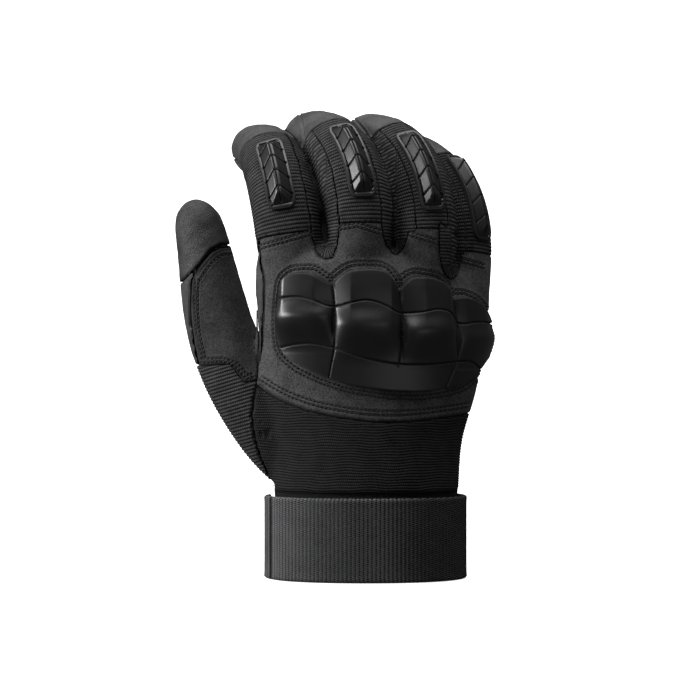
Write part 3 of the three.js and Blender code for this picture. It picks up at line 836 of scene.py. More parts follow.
@dataclass
class HandForm:
    """The hand's smooth form, and the surfaces that the pieces are laid on.

    palm_square, finger_square and thumb_square say how square their sections are. fade is how far
    along a finger its fullness ends, as a share of its length, and ease_over is the length over which
    it comes and goes. tip_from is where the thumb's round end starts, as a share of its line.
    """

    length: float = 166
    width: float = 110
    depth: float = 44
    cuff_width: float = 89
    cuff_depth: float = 56
    cuff_rise: float = 1.5
    thumb_width: float = 31
    thumb_depth: float = 31
    finger_root: float = 40
    start_bend: float = 3
    palm_square: float = 2.2
    finger_square: float = 2.25
    thumb_square: float = 2.1
    fade: float = 0.72
    ease_over: float = 18
    soft_over: float = 14
    tip_from: float = 0.9
    grain: float = 1.0
    even_rounds: int = 14
    seam_depth: float = 1.15
    seam_grain: float = 2.6
    seam_thick: float = 0.35
    facets: BVHTree = field(default=None, repr=False)
    skin: BVHTree = field(default=None, repr=False)

    def palm_table(self) -> Points:
        """The palm's sections.

        Returns:
            Rows of at, left, right, depth, back, turn, bow and slope.
        """
        side, deep = self.cuff_width / 2 / self.width, self.cuff_depth / self.depth
        return np.array(
            [
                [self.cuff_rise / self.length, -side, side, deep, 0, 0, 0, 0],
                [0.26, -side, side, deep, 0, 0, 0.04, 0],
                [0.4, -0.44, 0.425, 1.17, 0.03, 1, 0.1, 0],
                [0.53, -0.475, 0.487, 1.07, 0.05, 3, 0.16, 0],
                [0.66, -0.475, 0.53, 0.98, 0.07, 5, 0.21, 0],
                [0.77, -0.475, 0.545, 0.9, 0.08, 7, 0.24, -0.06],
                [0.85, -0.473, 0.535, 0.82, 0.09, 9, 0.26, -0.1],
                [0.91, -0.45, 0.5, 0.66, 0.1, 10, 0.27, -0.1],
                [0.95, -0.38, 0.42, 0.36, 0.11, 10, 0.28, -0.1],
            ]
        )

    def finger_table(self) -> Points:
        """How a finger swells and narrows.

        Returns:
            Rows of at, width and depth.
        """
        return np.array(
            [
                [-0.5, 0.6, 0.5],
                [-0.25, 0.9, 0.86],
                [-0.08, 1.02, 1.02],
                [0.1, 1.03, 1.02],
                [0.35, 1, 1],
                [0.55, 0.95, 0.96],
                [0.75, 0.88, 0.9],
                [1, 0.82, 0.84],
            ]
        )

    def thumb_table(self) -> Points:
        """The thumb's sections.

        Returns:
            Rows of at, across, back, up, width and depth.
        """
        rows = np.array(
            [
                [-0.225, 0.09, 0.262, 0.8, 0.84],
                [-0.378, 0.18, 0.402, 1.16, 1.2],
                [-0.54, 0.32, 0.56, 1.15, 1.16],
                [-0.636, 0.43, 0.7, 1.08, 1.04],
                [-0.686, 0.5, 0.831, 0.98, 0.94],
                [-0.724, 0.545, 0.964, 0.84, 0.82],
                [-0.776, 0.57, 1.102, 0.7, 0.7],
            ]
        )
        return np.column_stack([np.linspace(0, 1, len(rows)), rows])

    def palm_point(self, row: Points, u: Points, v: Points) -> Points:
        """Points of the palm's section, set in the hand.

        Args:
            row: a row of the palm's table for each point.
            u: how far across they are.
            v: how far to the palm side.

        Returns:
            The points.
        """
        _, left, right, _, back, turn, bow, slope = np.atleast_2d(row).T
        centre, half = (left + right) / 2 * self.width, (right - left) / 2 * self.width
        bowed = v + bow * self.depth * (u / half) ** 2
        turn = np.radians(turn)
        x = centre + u * np.cos(turn) - bowed * np.sin(turn)
        y = (back - 0.3 * bow) * self.depth + u * np.sin(turn) + bowed * np.cos(turn)
        return np.stack([x, y, np.atleast_2d(row)[:, 0] * self.length + slope * u], 1)

    def palm_rings(self, grow: float, sides: int, rows: int | None) -> Points:
        """The palm's rings.

        Args:
            grow: how much larger they are than the glove.
            sides: points to a ring.
            rows: how many rings on a smooth curve, or None for the table's own rows.

        Returns:
            The rings of points.
        """
        table = self.palm_table()
        if rows:
            table = smooth_table(table, np.linspace(table[0, 0], table[-1, 0], rows))
        rings = []
        for row in table:
            half, deep = (row[2] - row[1]) / 2 * self.width + grow, row[3] * self.depth / 2 + grow
            u, v = rounded(even_angles(sides), half, deep, self.palm_square)
            rings.append(self.palm_point(np.repeat(row[None], sides, 0), u, v))
        rings = np.array(rings)
        rings[-1, :, 2] += grow
        return rings

    def finger_line(self, f: Finger, lengths: Points) -> tuple[Points, Points, Points, Points]:
        """A finger's middle line at lengths from its seam.

        Args:
            f: the finger.
            lengths: the lengths.

        Returns:
            The places and the three axes: along, side and back.
        """
        lengths = np.atleast_1d(np.asarray(lengths, float))
        turn, roll = math.radians(f.turn), math.radians(f.roll)
        side = np.array([math.cos(turn), math.sin(turn), 0])
        outward = np.array([math.sin(turn), -math.cos(turn), 0])
        rise = unit(np.array([0, 0, 1]) + side * math.tan(math.radians(f.lean)))
        level = unit(side - rise * (side @ rise))

        def axes(q: Points) -> tuple[Points, Points, Points]:
            """The finger's axes.

            Args:
                q: lengths from its seam.

            Returns:
                The ways along it, across it and out of its back.
            """
            share = np.maximum(0, q / f.length)[..., None]
            bend = np.radians(self.start_bend + (f.bend - self.start_bend) * share)
            sway = np.radians(f.sway * share)
            straight = rise * np.cos(bend) - outward * np.sin(bend)
            back = rise * np.sin(bend) + outward * np.cos(bend)
            along = straight * np.cos(sway) + level * np.sin(sway)
            over = level * np.cos(sway) - straight * np.sin(sway)
            across = over * math.cos(roll) - back * math.sin(roll)
            return along, across, back * math.cos(roll) + over * math.sin(roll)

        count = 24
        steps = (np.arange(count) + 0.5) / count
        base = np.array([f.seam[0] * self.width, f.seam[1] * self.depth, f.seam[2] * self.length])
        walk = axes(steps[None] * lengths[:, None])[0].sum(1) * (lengths / count)[:, None]
        return base + walk, *axes(lengths)

    def finger_halves(self, f: Finger, lengths: Points, grow: float) -> tuple[Points, Points]:
        """Half the width and half the depth of a finger, with its round tip.

        Args:
            f: the finger.
            lengths: lengths from its seam.
            grow: how much larger it is than the glove.

        Returns:
            The half widths and the half depths.
        """
        row = smooth_table(self.finger_table(), np.atleast_1d(lengths) / f.length)
        tip = f.depth / 2 * 0.92
        past = np.clip((lengths - (f.length - tip)) / tip, 0, 1)
        reach = np.maximum(0.02, np.sqrt(1 - past**2))
        return reach * (row[:, 1] * f.width / 2 + grow), reach * (row[:, 2] * f.depth / 2 + grow)

    def finger_rings(self, f: Finger, grow: float, sides: int, rows: int, soft: bool) -> Points:
        """A finger's rings from inside the palm to its tip.

        Args:
            f: the finger.
            grow: how much larger they are than the glove.
            sides: points to a ring.
            rows: rings.
            soft: whether its sides are fuller at the slits, as on the smooth form.

        Returns:
            The rings of points.
        """
        t = np.arange(rows + 1) / rows
        share = np.where(t < 0.6, t * 1.1, 0.66 + 0.34 * np.sin((t - 0.6) / 0.4 * math.pi / 2))
        s = -self.finger_root + (f.length + self.finger_root) * share
        place, _, side, back = self.finger_line(f, s)
        a, b = self.finger_halves(f, s, grow)
        sunk = f.sunk * (np.minimum(0, s) / self.finger_root) ** 2
        u, v = rounded(even_angles(sides)[None], a[:, None], b[:, None], self.finger_square)
        v = v + sunk[:, None]
        fade = ease((f.length * self.fade - s) / self.ease_over)
        fuller = np.where(u < 0, f.full[0], f.full[1]) * (ease((s - 2) / self.ease_over) * fade)[:, None]
        if soft:
            left, right, start = f.soft
            comes = ease((s - start) / self.soft_over)
            fuller = fuller + np.where(u < 0, left, right) * (comes * fade)[:, None]
        u = u + u / a[:, None] * fuller
        return place[:, None] + side[:, None] * u[..., None] + back[:, None] * v[..., None]

    def thumb_line(self, t: Points) -> Points:
        """The thumb's middle line, as the CAD part's curve runs.

        Args:
            t: shares of the line, from 0 to 1.

        Returns:
            The places.
        """
        p = self.thumb_table()[:, 1:4] * [self.width, self.depth, self.length]
        full = np.concatenate([[2 * p[0] - p[1]], p, [2 * p[-1] - p[-2]]])
        at = np.clip(np.atleast_1d(t), 0, 1) * (len(p) - 1)
        i = np.minimum(at.astype(int), len(p) - 2)
        w = (at - i)[:, None]
        q = [full[i + k] for k in range(4)]
        d = [np.sum((q[k + 1] - q[k]) ** 2, 1)[:, None] ** 0.25 for k in range(3)]
        m = ((q[1] - q[0]) / d[0] - (q[2] - q[0]) / (d[0] + d[1]) + (q[2] - q[1]) / d[1]) * d[1]
        n = ((q[2] - q[1]) / d[1] - (q[3] - q[1]) / (d[1] + d[2]) + (q[3] - q[2]) / d[2]) * d[1]
        c2, c3 = -3 * q[1] + 3 * q[2] - 2 * m - n, 2 * q[1] - 2 * q[2] + m + n
        return q[1] + m * w + c2 * w**2 + c3 * w**3

    def thumb_axes(self, t: Points) -> tuple[Points, Points, Points, Points]:
        """The thumb's places and axes.

        Args:
            t: shares of its line, from 0 to 1.

        Returns:
            The places and the three axes: along, side and back.
        """
        t = np.atleast_1d(t)
        ahead, behind = np.minimum(t + 1e-3, 1), np.maximum(t - 1e-3, 0)
        along = unit(self.thumb_line(ahead) - self.thumb_line(behind))
        out = np.array([-0.2, -1, 0])
        back = unit(out - along * (along @ out)[:, None])
        return self.thumb_line(t), along, np.cross(back, along), back

    def thumb_rings(self, grow: float, sides: int, rows: int, smooth: bool) -> Points:
        """The thumb's rings from inside the palm to its tip.

        Args:
            grow: how much larger they are than the glove.
            sides: points to a ring.
            rows: rings.
            smooth: whether its end has more rings, as on the smooth form.

        Returns:
            The rings of points.
        """
        ends = 12 if smooth else 4
        r = np.arange(rows + 1)
        turn = np.sin((r - rows + ends) / ends * math.pi / 2)
        start, tip = self.tip_from, 0.1
        t = np.where(r < rows - ends, r / (rows - ends) * start, start + tip * turn)
        row = smooth_table(self.thumb_table(), t)
        reach = np.maximum(0.03, np.sqrt(np.maximum(0, 1 - np.maximum(0, (t - start) / tip) ** 2)))
        wide = reach * (row[:, 4] * self.thumb_width / 2 + grow)
        deep = reach * (row[:, 5] * self.thumb_depth / 2 + grow)
        u, v = rounded(even_angles(sides)[None], wide[:, None], deep[:, None], self.thumb_square)
        place, _, side, back = self.thumb_axes(t)
        return place[:, None] + side[:, None] * u[..., None] + back[:, None] * v[..., None]

    def _rings(self, fine: Fineness, grow: float) -> list[Points]:
        """The rings of every part of a form.

        Args:
            fine: how finely it is laid out.
            grow: how much larger it is than the glove.

        Returns:
            The rings of the palm, the fingers and the thumb.
        """
        rings = [self.palm_rings(grow, fine.palm_sides, fine.palm_rows)]
        rings += [self.finger_rings(f, grow, fine.sides, fine.rows, fine.soft) for f in FINGERS]
        return rings + [self.thumb_rings(grow, fine.sides, fine.rows, fine.soft)]

    def _loft(self, name: str, rings: Points) -> bpy.types.Object:
        """A closed body through rings of points.

        Args:
            name: its name.
            rings: the rings.

        Returns:
            The body.
        """
        count, sides = rings.shape[:2]
        faces = []
        for r in range(count - 1):
            for i in range(sides):
                a, b = r * sides + i, r * sides + (i + 1) % sides
                faces.append([a, b, b + sides, a + sides])
        faces.append(list(range(sides))[::-1])
        faces.append(list(range((count - 1) * sides, count * sides)))
        made = new_object(name, rings.reshape(-1, 3), faces)
        edit_all(made, bpy.ops.mesh.normals_make_consistent, inside=False)
        return made

    def _whole(self, form: Forms, name: str, grow: float, grain: float) -> bpy.types.Object:
        """Joins a form's parts in one closed mesh of even squares.

        Args:
            form: the form.
            name: its name.
            grow: how much larger it is than the glove.
            grain: the squares' size.

        Returns:
            The mesh.
        """
        parts = [self._loft(f"{name}_{i}", r) for i, r in enumerate(self._rings(form.value, grow))]
        only(parts[0])
        for part in parts:
            part.select_set(True)
        bpy.ops.object.join()
        remesh(parts[0], grain)
        return parts[0]

    def build(self) -> None:
        """Builds the CAD part's faceted form and the smooth one, and keeps their search trees."""
        faceted = self._whole(Forms.FACETED, "faceted_form", 0, self.grain)
        self.facets = tree_of([faceted])
        smooth = self._whole(Forms.SMOOTH, "smooth_form", 0, self.grain)
        softened(smooth, self.even_rounds)
        self.skin = tree_of([smooth])
        for spare in (faceted, smooth):
            bpy.data.objects.remove(spare)

    def seam_layer(self, material: bpy.types.Material) -> None:
        """Lays the turned-in edges of all panels as one thin dark layer inside the walls.

        Args:
            material: its finish, near black, so that the seams between the panels show painted shade.
        """
        # The layer stands for the turned-in edges, and its near-black colour is painted shade in the
        # seams.
        made = self._whole(Forms.LINING, "seam_allowance_shade", -self.seam_depth, self.seam_grain)
        softened(made, 3)
        low = Vector((0, 0, self.cuff_rise + 0.8)) * MM
        edit_all(made, bpy.ops.mesh.bisect, plane_co=low, plane_no=(0, 0, 1), clear_inner=True)
        modified(made, "SOLIDIFY", thickness=self.seam_thick * MM, offset=-1)
        shade_smooth(made, 50)
        dress(made, material, "palm_leather")

    def palm_front(self, x: Points, up: Points) -> tuple[Points, Points]:
        """The palm's front surface at places across and up the hand.

        Args:
            x: places across, in millimetres.
            up: heights.

        Returns:
            The places and the ways that they face.
        """
        row = smooth_table(self.palm_table(), up / self.length)
        half, deep = (row[:, 2] - row[:, 1]) / 2 * self.width, row[:, 3] * self.depth / 2

        def at(angle: Points) -> Points:
            """Places of the palm's sections.

            Args:
                angle: an angle for each section.

            Returns:
                The places, each at its section's height.
            """
            p = self.palm_point(row, *rounded(angle, half, deep, self.palm_square))
            p[:, 2] = up
            return p

        low, high = np.full(len(x), math.pi), np.full(len(x), 2 * math.pi)
        for _ in range(24):
            angle = (low + high) / 2
            short = at(angle)[:, 0] < x
            low, high = np.where(short, angle, low), np.where(short, high, angle)
        run = unit(at(low + 0.02) - at(low - 0.02))
        return at(low), np.stack([run[:, 1], -run[:, 0], np.zeros(len(x))], 1)

    def shade(self, points: Points, normals: Points) -> Points:
        """How far points lie in the folds of the form.

        Args:
            points: the points.
            normals: the ways that they face.

        Returns:
            0 in the open to 1 deep between two fingers: a mask of painted shade that darkens the knit.
        """
        found = np.zeros(len(points))
        reach, lift, turned = 25, 0.6, -0.2
        sides = [(0, -1, 0), (0.6, -0.8, 0), (-0.6, -0.8, 0)]
        sides += [(0, -0.8, 0.6), (-0.9, -0.4, 0.1), (0.9, -0.4, 0.1)]
        for way in [unit(np.array(side, float)) for side in sides]:
            for i in np.flatnonzero(normals @ way > turned):
                start = Vector((points[i] + normals[i] * lift).tolist())
                if self.skin.ray_cast(start, Vector(way.tolist()), reach)[0] is not None:
                    found[i] += 1
            found[normals @ way <= turned] += 0.6
        return np.clip(found / len(sides) - 0.15, 0, 1)

    def finger_measure(self, f: Finger, points: Points) -> tuple[Points, Points]:
        """How far points are along a finger and round it.

        Args:
            f: the finger.
            points: the points.

        Returns:
            The two lengths in millimetres.
        """
        lengths = np.linspace(-12, f.length, 240)
        place, *axes = self.finger_line(f, lengths)
        s, u = np.empty(len(points)), np.empty(len(points))
        chunk = 4000
        for start in range(0, len(points), chunk):
            here = slice(start, start + chunk)
            gap = points[here][:, None] - place[None]
            i = np.argmin(np.einsum("ijk,ijk->ij", gap, gap), 1)
            off = points[here] - place[i]
            along, side, back = (np.einsum("ij,ij->i", off, axis[i]) for axis in axes)
            s[here] = lengths[i] + along
            u[here] = np.arctan2(side, back) * f.width / 2
        return s, u


# How near to its neighbour a panel ends, and how near to the smooth form a point is on it
SEAM_GAP = 0.3
ON_SKIN = 0.12


class Ribs(Enum):
    """Which way a panel's ribs run."""

    NONE = "none"
    ACROSS_FINGER = "across the finger"
    ACROSS_WEB = "across both strips of a web and round its foot"
    ACROSS_HAND = "level across the hand"
    ACROSS_THUMB_ROOT = "slanting across the thumb's root"


@dataclass
class Panel:
    """A cloth or leather wall: the CAD panel made smooth, with rolled edges, ribs and sewn channels.

    grain is its mesh's size. pitch and rise are its ribs' width and height, roll and roll_drop its
    edge's. finger is the finger that it is on, or the first of two. crease is the height of its soft
    waves. channels are sewn lines, band_to names a neighbour with a raised band along it, and
    shaded_tuck_at is the height where the knit is tucked in above the strap and painted darker as painted
    shade.
    outside_depth says how near the form its outside points are.
    """

    node: str
    slot: str
    grain: float
    ribs: Ribs = Ribs.NONE
    pitch: float = 1.5
    rise: float = 0.34
    roll: float = 1.3
    roll_drop: float = 0.8
    finger: int = 0
    crease: float = 0.0
    channels: list[Points] = field(default_factory=list)
    band_to: str = ""
    shaded_tuck_at: float = 0.0
    outside_depth: float = 0.5

    def build(self, form: HandForm, nodes: dict, material: bpy.types.Material) -> bpy.types.Object:
        """Builds and dresses the panel.

        Args:
            form: the hand form.
            nodes: the CAD nodes.
            material: its finish.

        Returns:
            The finished object.
        """
        made = linked(f"{self.node}_piece", nodes[self.node].data.copy())
        edit_all(made, bpy.ops.mesh.remove_doubles, threshold=0.000002)
        remesh(made, self.grain)
        outer = self._lay_on_skin(made, form)
        if self.ribs is not Ribs.NONE:
            self._cut_ribs(made, form, outer)
        if self.channels:
            self._refine(made, form)
        self._shape(made, form, nodes)
        shade_smooth(made, 50)
        dress(made, material, self.slot, self.node)
        return made

    def _lay_on_skin(self, made: bpy.types.Object, form: HandForm) -> Points:
        """Moves the wall from the faceted form to the smooth one.

        Args:
            made: the wall.
            form: the hand form.

        Returns:
            Which points are outside.
        """
        points = points_of(made)
        on_facets, _, depth = nearest(form.facets, points)
        outer = depth < self.outside_depth
        moved = points + (nearest(form.skin, on_facets)[0] - on_facets)
        moved[outer] = nearest(form.skin, points[outer])[0]
        place_points(made, moved)
        self._relax_jumps(made, outer)
        return outer

    def _relax_jumps(self, made: bpy.types.Object, outer: Points) -> None:
        """Smooths the few outside places where the nearest point of the skin jumps across a valley.

        Args:
            made: the wall.
            outer: which points are outside.
        """
        stretched = 1.8 * self.grain * MM
        axes = {f"use_axis_{axis}": True for axis in "xyz"}
        with opened(made) as bm:
            torn = {v for e in bm.edges if e.calc_length() > stretched for v in e.verts}
            for _ in range(3):
                torn |= {e.other_vert(v) for v in torn for e in v.link_edges}
            torn = {v for v in torn if outer[v.index]}
            torn = {v for v in torn if all(outer[e.other_vert(v).index] for e in v.link_edges)}
            for _ in range(10 if torn else 0):
                bmesh.ops.smooth_vert(bm, verts=list(torn), factor=0.5, **axes)
            log.info("%s: %d relaxed points", self.node, len(torn))

    def _phase(self, points: Points, form: HandForm) -> tuple[Points, Points]:
        """How far points are across the ribs and along them.

        Args:
            points: the points.
            form: the hand form.

        Returns:
            The two lengths in millimetres.
        """
        x, _, z = points.T
        if self.ribs is Ribs.ACROSS_FINGER:
            return form.finger_measure(FINGERS[self.finger], points)
        if self.ribs is Ribs.ACROSS_WEB:
            return self._web_phase(points, form)
        if self.ribs is Ribs.ACROSS_HAND:
            return z + 0.3 * np.sin(x * 0.17 + z * 0.11) + 0.2 * np.sin(x * 0.41 - z * 0.19), x
        tilt = math.radians(17)
        return z * math.cos(tilt) - x * math.sin(tilt), x * math.cos(tilt) + z * math.sin(tilt)

    def _web_phase(self, points: Points, form: HandForm) -> tuple[Points, Points]:
        """As _phase, for a web: along both fingers, and round the foot in a fan.

        Args:
            points: the points.
            form: the hand form.

        Returns:
            The two lengths in millimetres.
        """
        middle, low = WEB_FEET[self.finger]
        x, z = points[:, 0] - middle * form.width, points[:, 2] - low * form.length
        sides = [form.finger_measure(FINGERS[self.finger + k], points) for k in (0, 1)]
        left = x < 0
        over = np.where(left, sides[0][0], sides[1][0])
        round_it = np.where(left, sides[0][1], sides[1][1])
        radius = 6.0
        turn = np.arctan2(np.maximum(-z, 0), np.maximum(np.abs(x), 0.3))
        foot = z < 0
        seam = [(low - FINGERS[self.finger + k].seam[2]) * form.length for k in (0, 1)]
        start = np.where(left, seam[0], seam[1])
        return np.where(foot, start - radius * turn, over), np.where(foot, np.hypot(x, z), round_it)

    def _cut_ribs(self, made: bpy.types.Object, form: HandForm, outer: Points) -> None:
        """Cuts rows of edges into the outside, four to a rib, so that each rib is really shaped.

        Args:
            made: the wall.
            form: the hand form.
            outer: which points are outside.
        """
        step, steepest = self.pitch / 4, 12
        phase = self._phase(points_of(made), form)[0] / step
        near = np.round(phase)
        on_row = np.abs(phase - near) < 0.06
        phase = np.where(on_row, near, phase)
        with opened(made) as bm:
            value, faces = {}, []
            for face in (f for f in bm.faces if all(outer[v.index] for v in f.verts)):
                here = {v: float(phase[v.index]) for v in face.verts}
                if max(here.values()) - min(here.values()) < steepest:
                    faces.append(face)
                    value |= here
            row_of = self._split_edges(bm, faces, value)
            self._split_faces(bm, faces, row_of)

    def _split_edges(self, bm: bmesh.types.BMesh, faces: list, value: dict) -> dict:
        """Splits the edges of some faces wherever they cross a row.

        Args:
            bm: the open mesh.
            faces: the faces.
            value: how many rows up each point is.

        Returns:
            The row of each point that lies on one.
        """
        row_of = {v: int(p) for v, p in value.items() if p == round(p)}
        for edge in {e for f in faces for e in f.edges}:
            start, end = edge.verts
            a, b = value[start], value[end]
            if a > b:
                start, end, a, b = end, start, b, a
            here, low = start, a
            for level in range(math.floor(a) + 1, math.ceil(b)):
                run = bm.edges.get((here, end))
                _, fresh = bmesh.utils.edge_split(run, here, (level - low) / (b - low))
                row_of[fresh] = level
                here, low = fresh, level
        return row_of

    def _split_faces(self, bm: bmesh.types.BMesh, faces: list, row_of: dict) -> None:
        """Splits faces between two points of the same row.

        Args:
            bm: the open mesh.
            faces: the faces.
            row_of: the row of each point that lies on one.
        """
        work = list(faces)
        while work:
            face = work.pop()
            marks: dict[int, list] = {}
            for v in face.verts:
                if v in row_of:
                    marks.setdefault(row_of[v], []).append(v)
            for pair in marks.values():
                if len(pair) == 2 and bm.edges.get(pair) is None:
                    other, _ = bmesh.utils.face_split(face, pair[0], pair[1])
                    work += [face, other]
                    break

    def _refine(self, made: bpy.types.Object, form: HandForm) -> None:
        """Halves the outside faces near the sewn channels, so that they can be shaped.

        Args:
            made: the wall.
            form: the hand form.
        """
        points = points_of(made)
        off = np.min([line_distance(points[:, [0, 2]], line) for line in self.channels], 0)
        _, normal, depth = nearest(form.skin, points)
        close = (off < 1.6) & (depth < self.outside_depth) & (normal[:, 1] < 0.25)
        with opened(made) as bm:
            edges = [e for e in bm.edges if all(close[v.index] for v in e.verts)]
            bmesh.ops.subdivide_edges(bm, edges=edges, cuts=1, use_grid_fill=True)
            bmesh.ops.triangulate(bm, faces=[f for f in bm.faces if len(f.verts) > 4])

    def _creases(self, near: Points) -> Points:
        """Soft waves, the same each run.

        Args:
            near: places of the wall.

        Returns:
            A height of -1 to 1 for each place.
        """
        rng, count = np.random.default_rng(SEED), 7
        wave = np.zeros(len(near))
        for _ in range(count):
            way = unit(rng.normal(size=3))
            wave += np.sin(near @ way * rng.uniform(0.35, 1.1) + rng.uniform(0, 6))
        return wave / count

    def _shape(self, made: bpy.types.Object, form: HandForm, nodes: dict) -> None:
        """Rolls the edges down, raises the ribs and sinks the sewn channels.

        Args:
            made: the wall.
            form: the hand form.
            nodes: the CAD nodes.
        """
        points = points_of(made)
        _, normal, depth = nearest(form.skin, points)
        index = np.flatnonzero(depth < ON_SKIN)
        near = points[index]
        rest = [nodes[p.node] for p in PANELS if p.node != self.node]
        gap = nearest(tree_of(rest), near)[2] - SEAM_GAP
        edge = np.clip(gap / self.roll, 0, 1)
        lift = -self.roll_drop * quarter_round(edge)
        flow = np.zeros((len(points), 3))
        # Without ribs, the mask holds painted shade next to the panel's seams.
        if self.ribs is Ribs.NONE:
            flow[index, 2] = hump(np.maximum(gap, 0), 0.75)
        else:
            over, along = self._phase(points, form)
            flow[:, 0], flow[:, 1] = along, over
            share = over[index] / self.pitch
            crest = np.abs(np.sin(math.pi * share)) ** 0.7
            lift += self.rise * (crest - 0.6) * ease(edge * 1.6)
        for line in self.channels:
            off = line_distance(near[:, [0, 2]], line)
            seam = 0.5 * hump(off, 0.55) - 0.22 * hump(off - 0.95, 0.4)
            lift -= seam * (normal[index, 1] < 0.2)
        if self.crease:
            lift += self.crease * self._creases(near) * edge
        # Above the strap the knit is tucked in, and hem is also the mask of painted shade that darkens it
        # there.
        if self.shaded_tuck_at:
            hem = hump(near[:, 2] - self.shaded_tuck_at, 1.5) * (near[:, 2] > self.shaded_tuck_at - 3)
            lift -= 1.3 * hem
            flow[index, 2] = hem
        # On fingers and webs the mask is painted shade in the folds between fingers.
        if self.ribs in (Ribs.ACROSS_WEB, Ribs.ACROSS_FINGER):
            flow[index, 2] = form.shade(near, normal[index])
        if self.band_to:
            far = nearest(tree_of([nodes[self.band_to]]), near)[2]
            band = ease((3.0 - far) / 0.5)
            lift += 0.25 * band
            flow[index, 2] = np.maximum(flow[index, 2], band)
        points[index] += normal[index] * lift[:, None]
        place_points(made, points)
        put_flow(made, flow)


# The middle of each web's foot, as shares of the hand's width and length
WEB_FEET = ((-0.172, 0.957), (0.132, 0.972), (0.366, 0.9))

# Lines of the back, seen from the front, as shares of the hand's width and length

KNUCKLE_LINE = [
    (-0.475, 0.555), (-0.375, 0.515), (-0.25, 0.484), (-0.121, 0.466), (0.037, 0.452), (0.196, 0.454),
    (0.355, 0.466), (0.45, 0.474),
]  # fmt: skip
GUARD_OUTLINE = [
    (-0.372, 0.735), (-0.364, 0.803), (-0.355, 0.854), (-0.315, 0.875), (-0.227, 0.877), (-0.149, 0.837),
    (-0.112, 0.865), (-0.061, 0.886), (0.071, 0.886), (0.105, 0.862), (0.135, 0.82), (0.16, 0.848),
    (0.203, 0.868), (0.309, 0.857), (0.339, 0.831), (0.36, 0.8), (0.39, 0.807), (0.424, 0.809),
    (0.484, 0.792), (0.514, 0.764), (0.545, 0.725), (0.545, 0.671), (0.493, 0.606), (0.458, 0.58),
    (0.407, 0.558), (0.324, 0.546), (0.231, 0.538), (0.092, 0.541), (-0.074, 0.558), (-0.189, 0.584),
    (-0.287, 0.614), (-0.342, 0.642), (-0.362, 0.663),
]  # fmt: skip
GUARD_GROOVES = [
    [
        (-0.385, 0.8), (-0.282, 0.811), (-0.208, 0.797), (-0.142, 0.776), (-0.049, 0.794), (0.005, 0.8),
        (0.071, 0.786), (0.124, 0.763), (0.151, 0.761), (0.23, 0.765), (0.29, 0.776), (0.351, 0.763),
        (0.384, 0.727), (0.47, 0.741), (0.58, 0.727),
    ],
    [
        (-0.385, 0.659), (-0.254, 0.679), (-0.142, 0.666), (-0.01, 0.633), (0.124, 0.615), (0.258, 0.615),
        (0.377, 0.624), (0.443, 0.626), (0.483, 0.6), (0.509, 0.577),
    ],
    [(-0.148, 0.86), (-0.131, 0.778), (-0.129, 0.707), (-0.131, 0.666), (-0.142, 0.628), (-0.159, 0.566)],
    [(0.128, 0.84), (0.147, 0.761), (0.157, 0.716), (0.147, 0.672), (0.132, 0.611)],
    [(0.357, 0.82), (0.384, 0.727), (0.389, 0.677), (0.377, 0.624), (0.353, 0.589), (0.313, 0.527)],
]  # fmt: skip
FINGER_SEAMS = [
    [(-0.476, 0.966), (-0.36, 0.985), (-0.24, 1.009)],
    [(-0.127, 1.02), (-0.035, 1.029), (0.065, 1.009)],
    [(0.196, 1.005), (0.323, 0.98)],
    [(0.426, 0.934), (0.528, 0.917)],
]
THUMB_LEFT = [(-0.764, 0.862), (-0.769, 0.773), (-0.754, 0.683), (-0.73, 0.63)]
THUMB_LOW = [(-0.722, 0.612), (-0.588, 0.616), (-0.528, 0.563), (-0.49, 0.57)]
THUMB_TOP = [(-0.758, 0.868), (-0.73, 0.9), (-0.68, 0.94), (-0.639, 0.955), (-0.585, 0.96)]
SCALE = np.array([110.0, 166.0])
# The second seam of two fingertips, in millimetres across and up
CAP_SEAMS = {
    "middle": [np.array([(-33.0, 227.0), (-31.7, 222.4), (-30.7, 217.9), (-30.2, 213.0)])],
    "ring": [np.array([(-7.0, 226.0), (-5.2, 223.3), (-0.8, 217.0), (2.0, 212.0)])],
}


def flat_line(shares: list[tuple[float, float]]) -> Points:
    """A line of shares in millimetres."""
    return np.array(shares) * SCALE


def guard_ring(off: float) -> Points:
    """The line round the knuckle guard.

    Args:
        off: how far outside the guard it runs.

    Returns:
        The closed line.
    """
    loop = rounded_line(along_line(closed(flat_line(GUARD_OUTLINE)), 1.5)[:-1], 1, True)
    moved = loop + off * loop_normals(loop)
    for _ in range(5):
        moved = moved * 0.5 + (np.roll(moved, 1, 0) + np.roll(moved, -1, 0)) * 0.25
    return closed(moved)


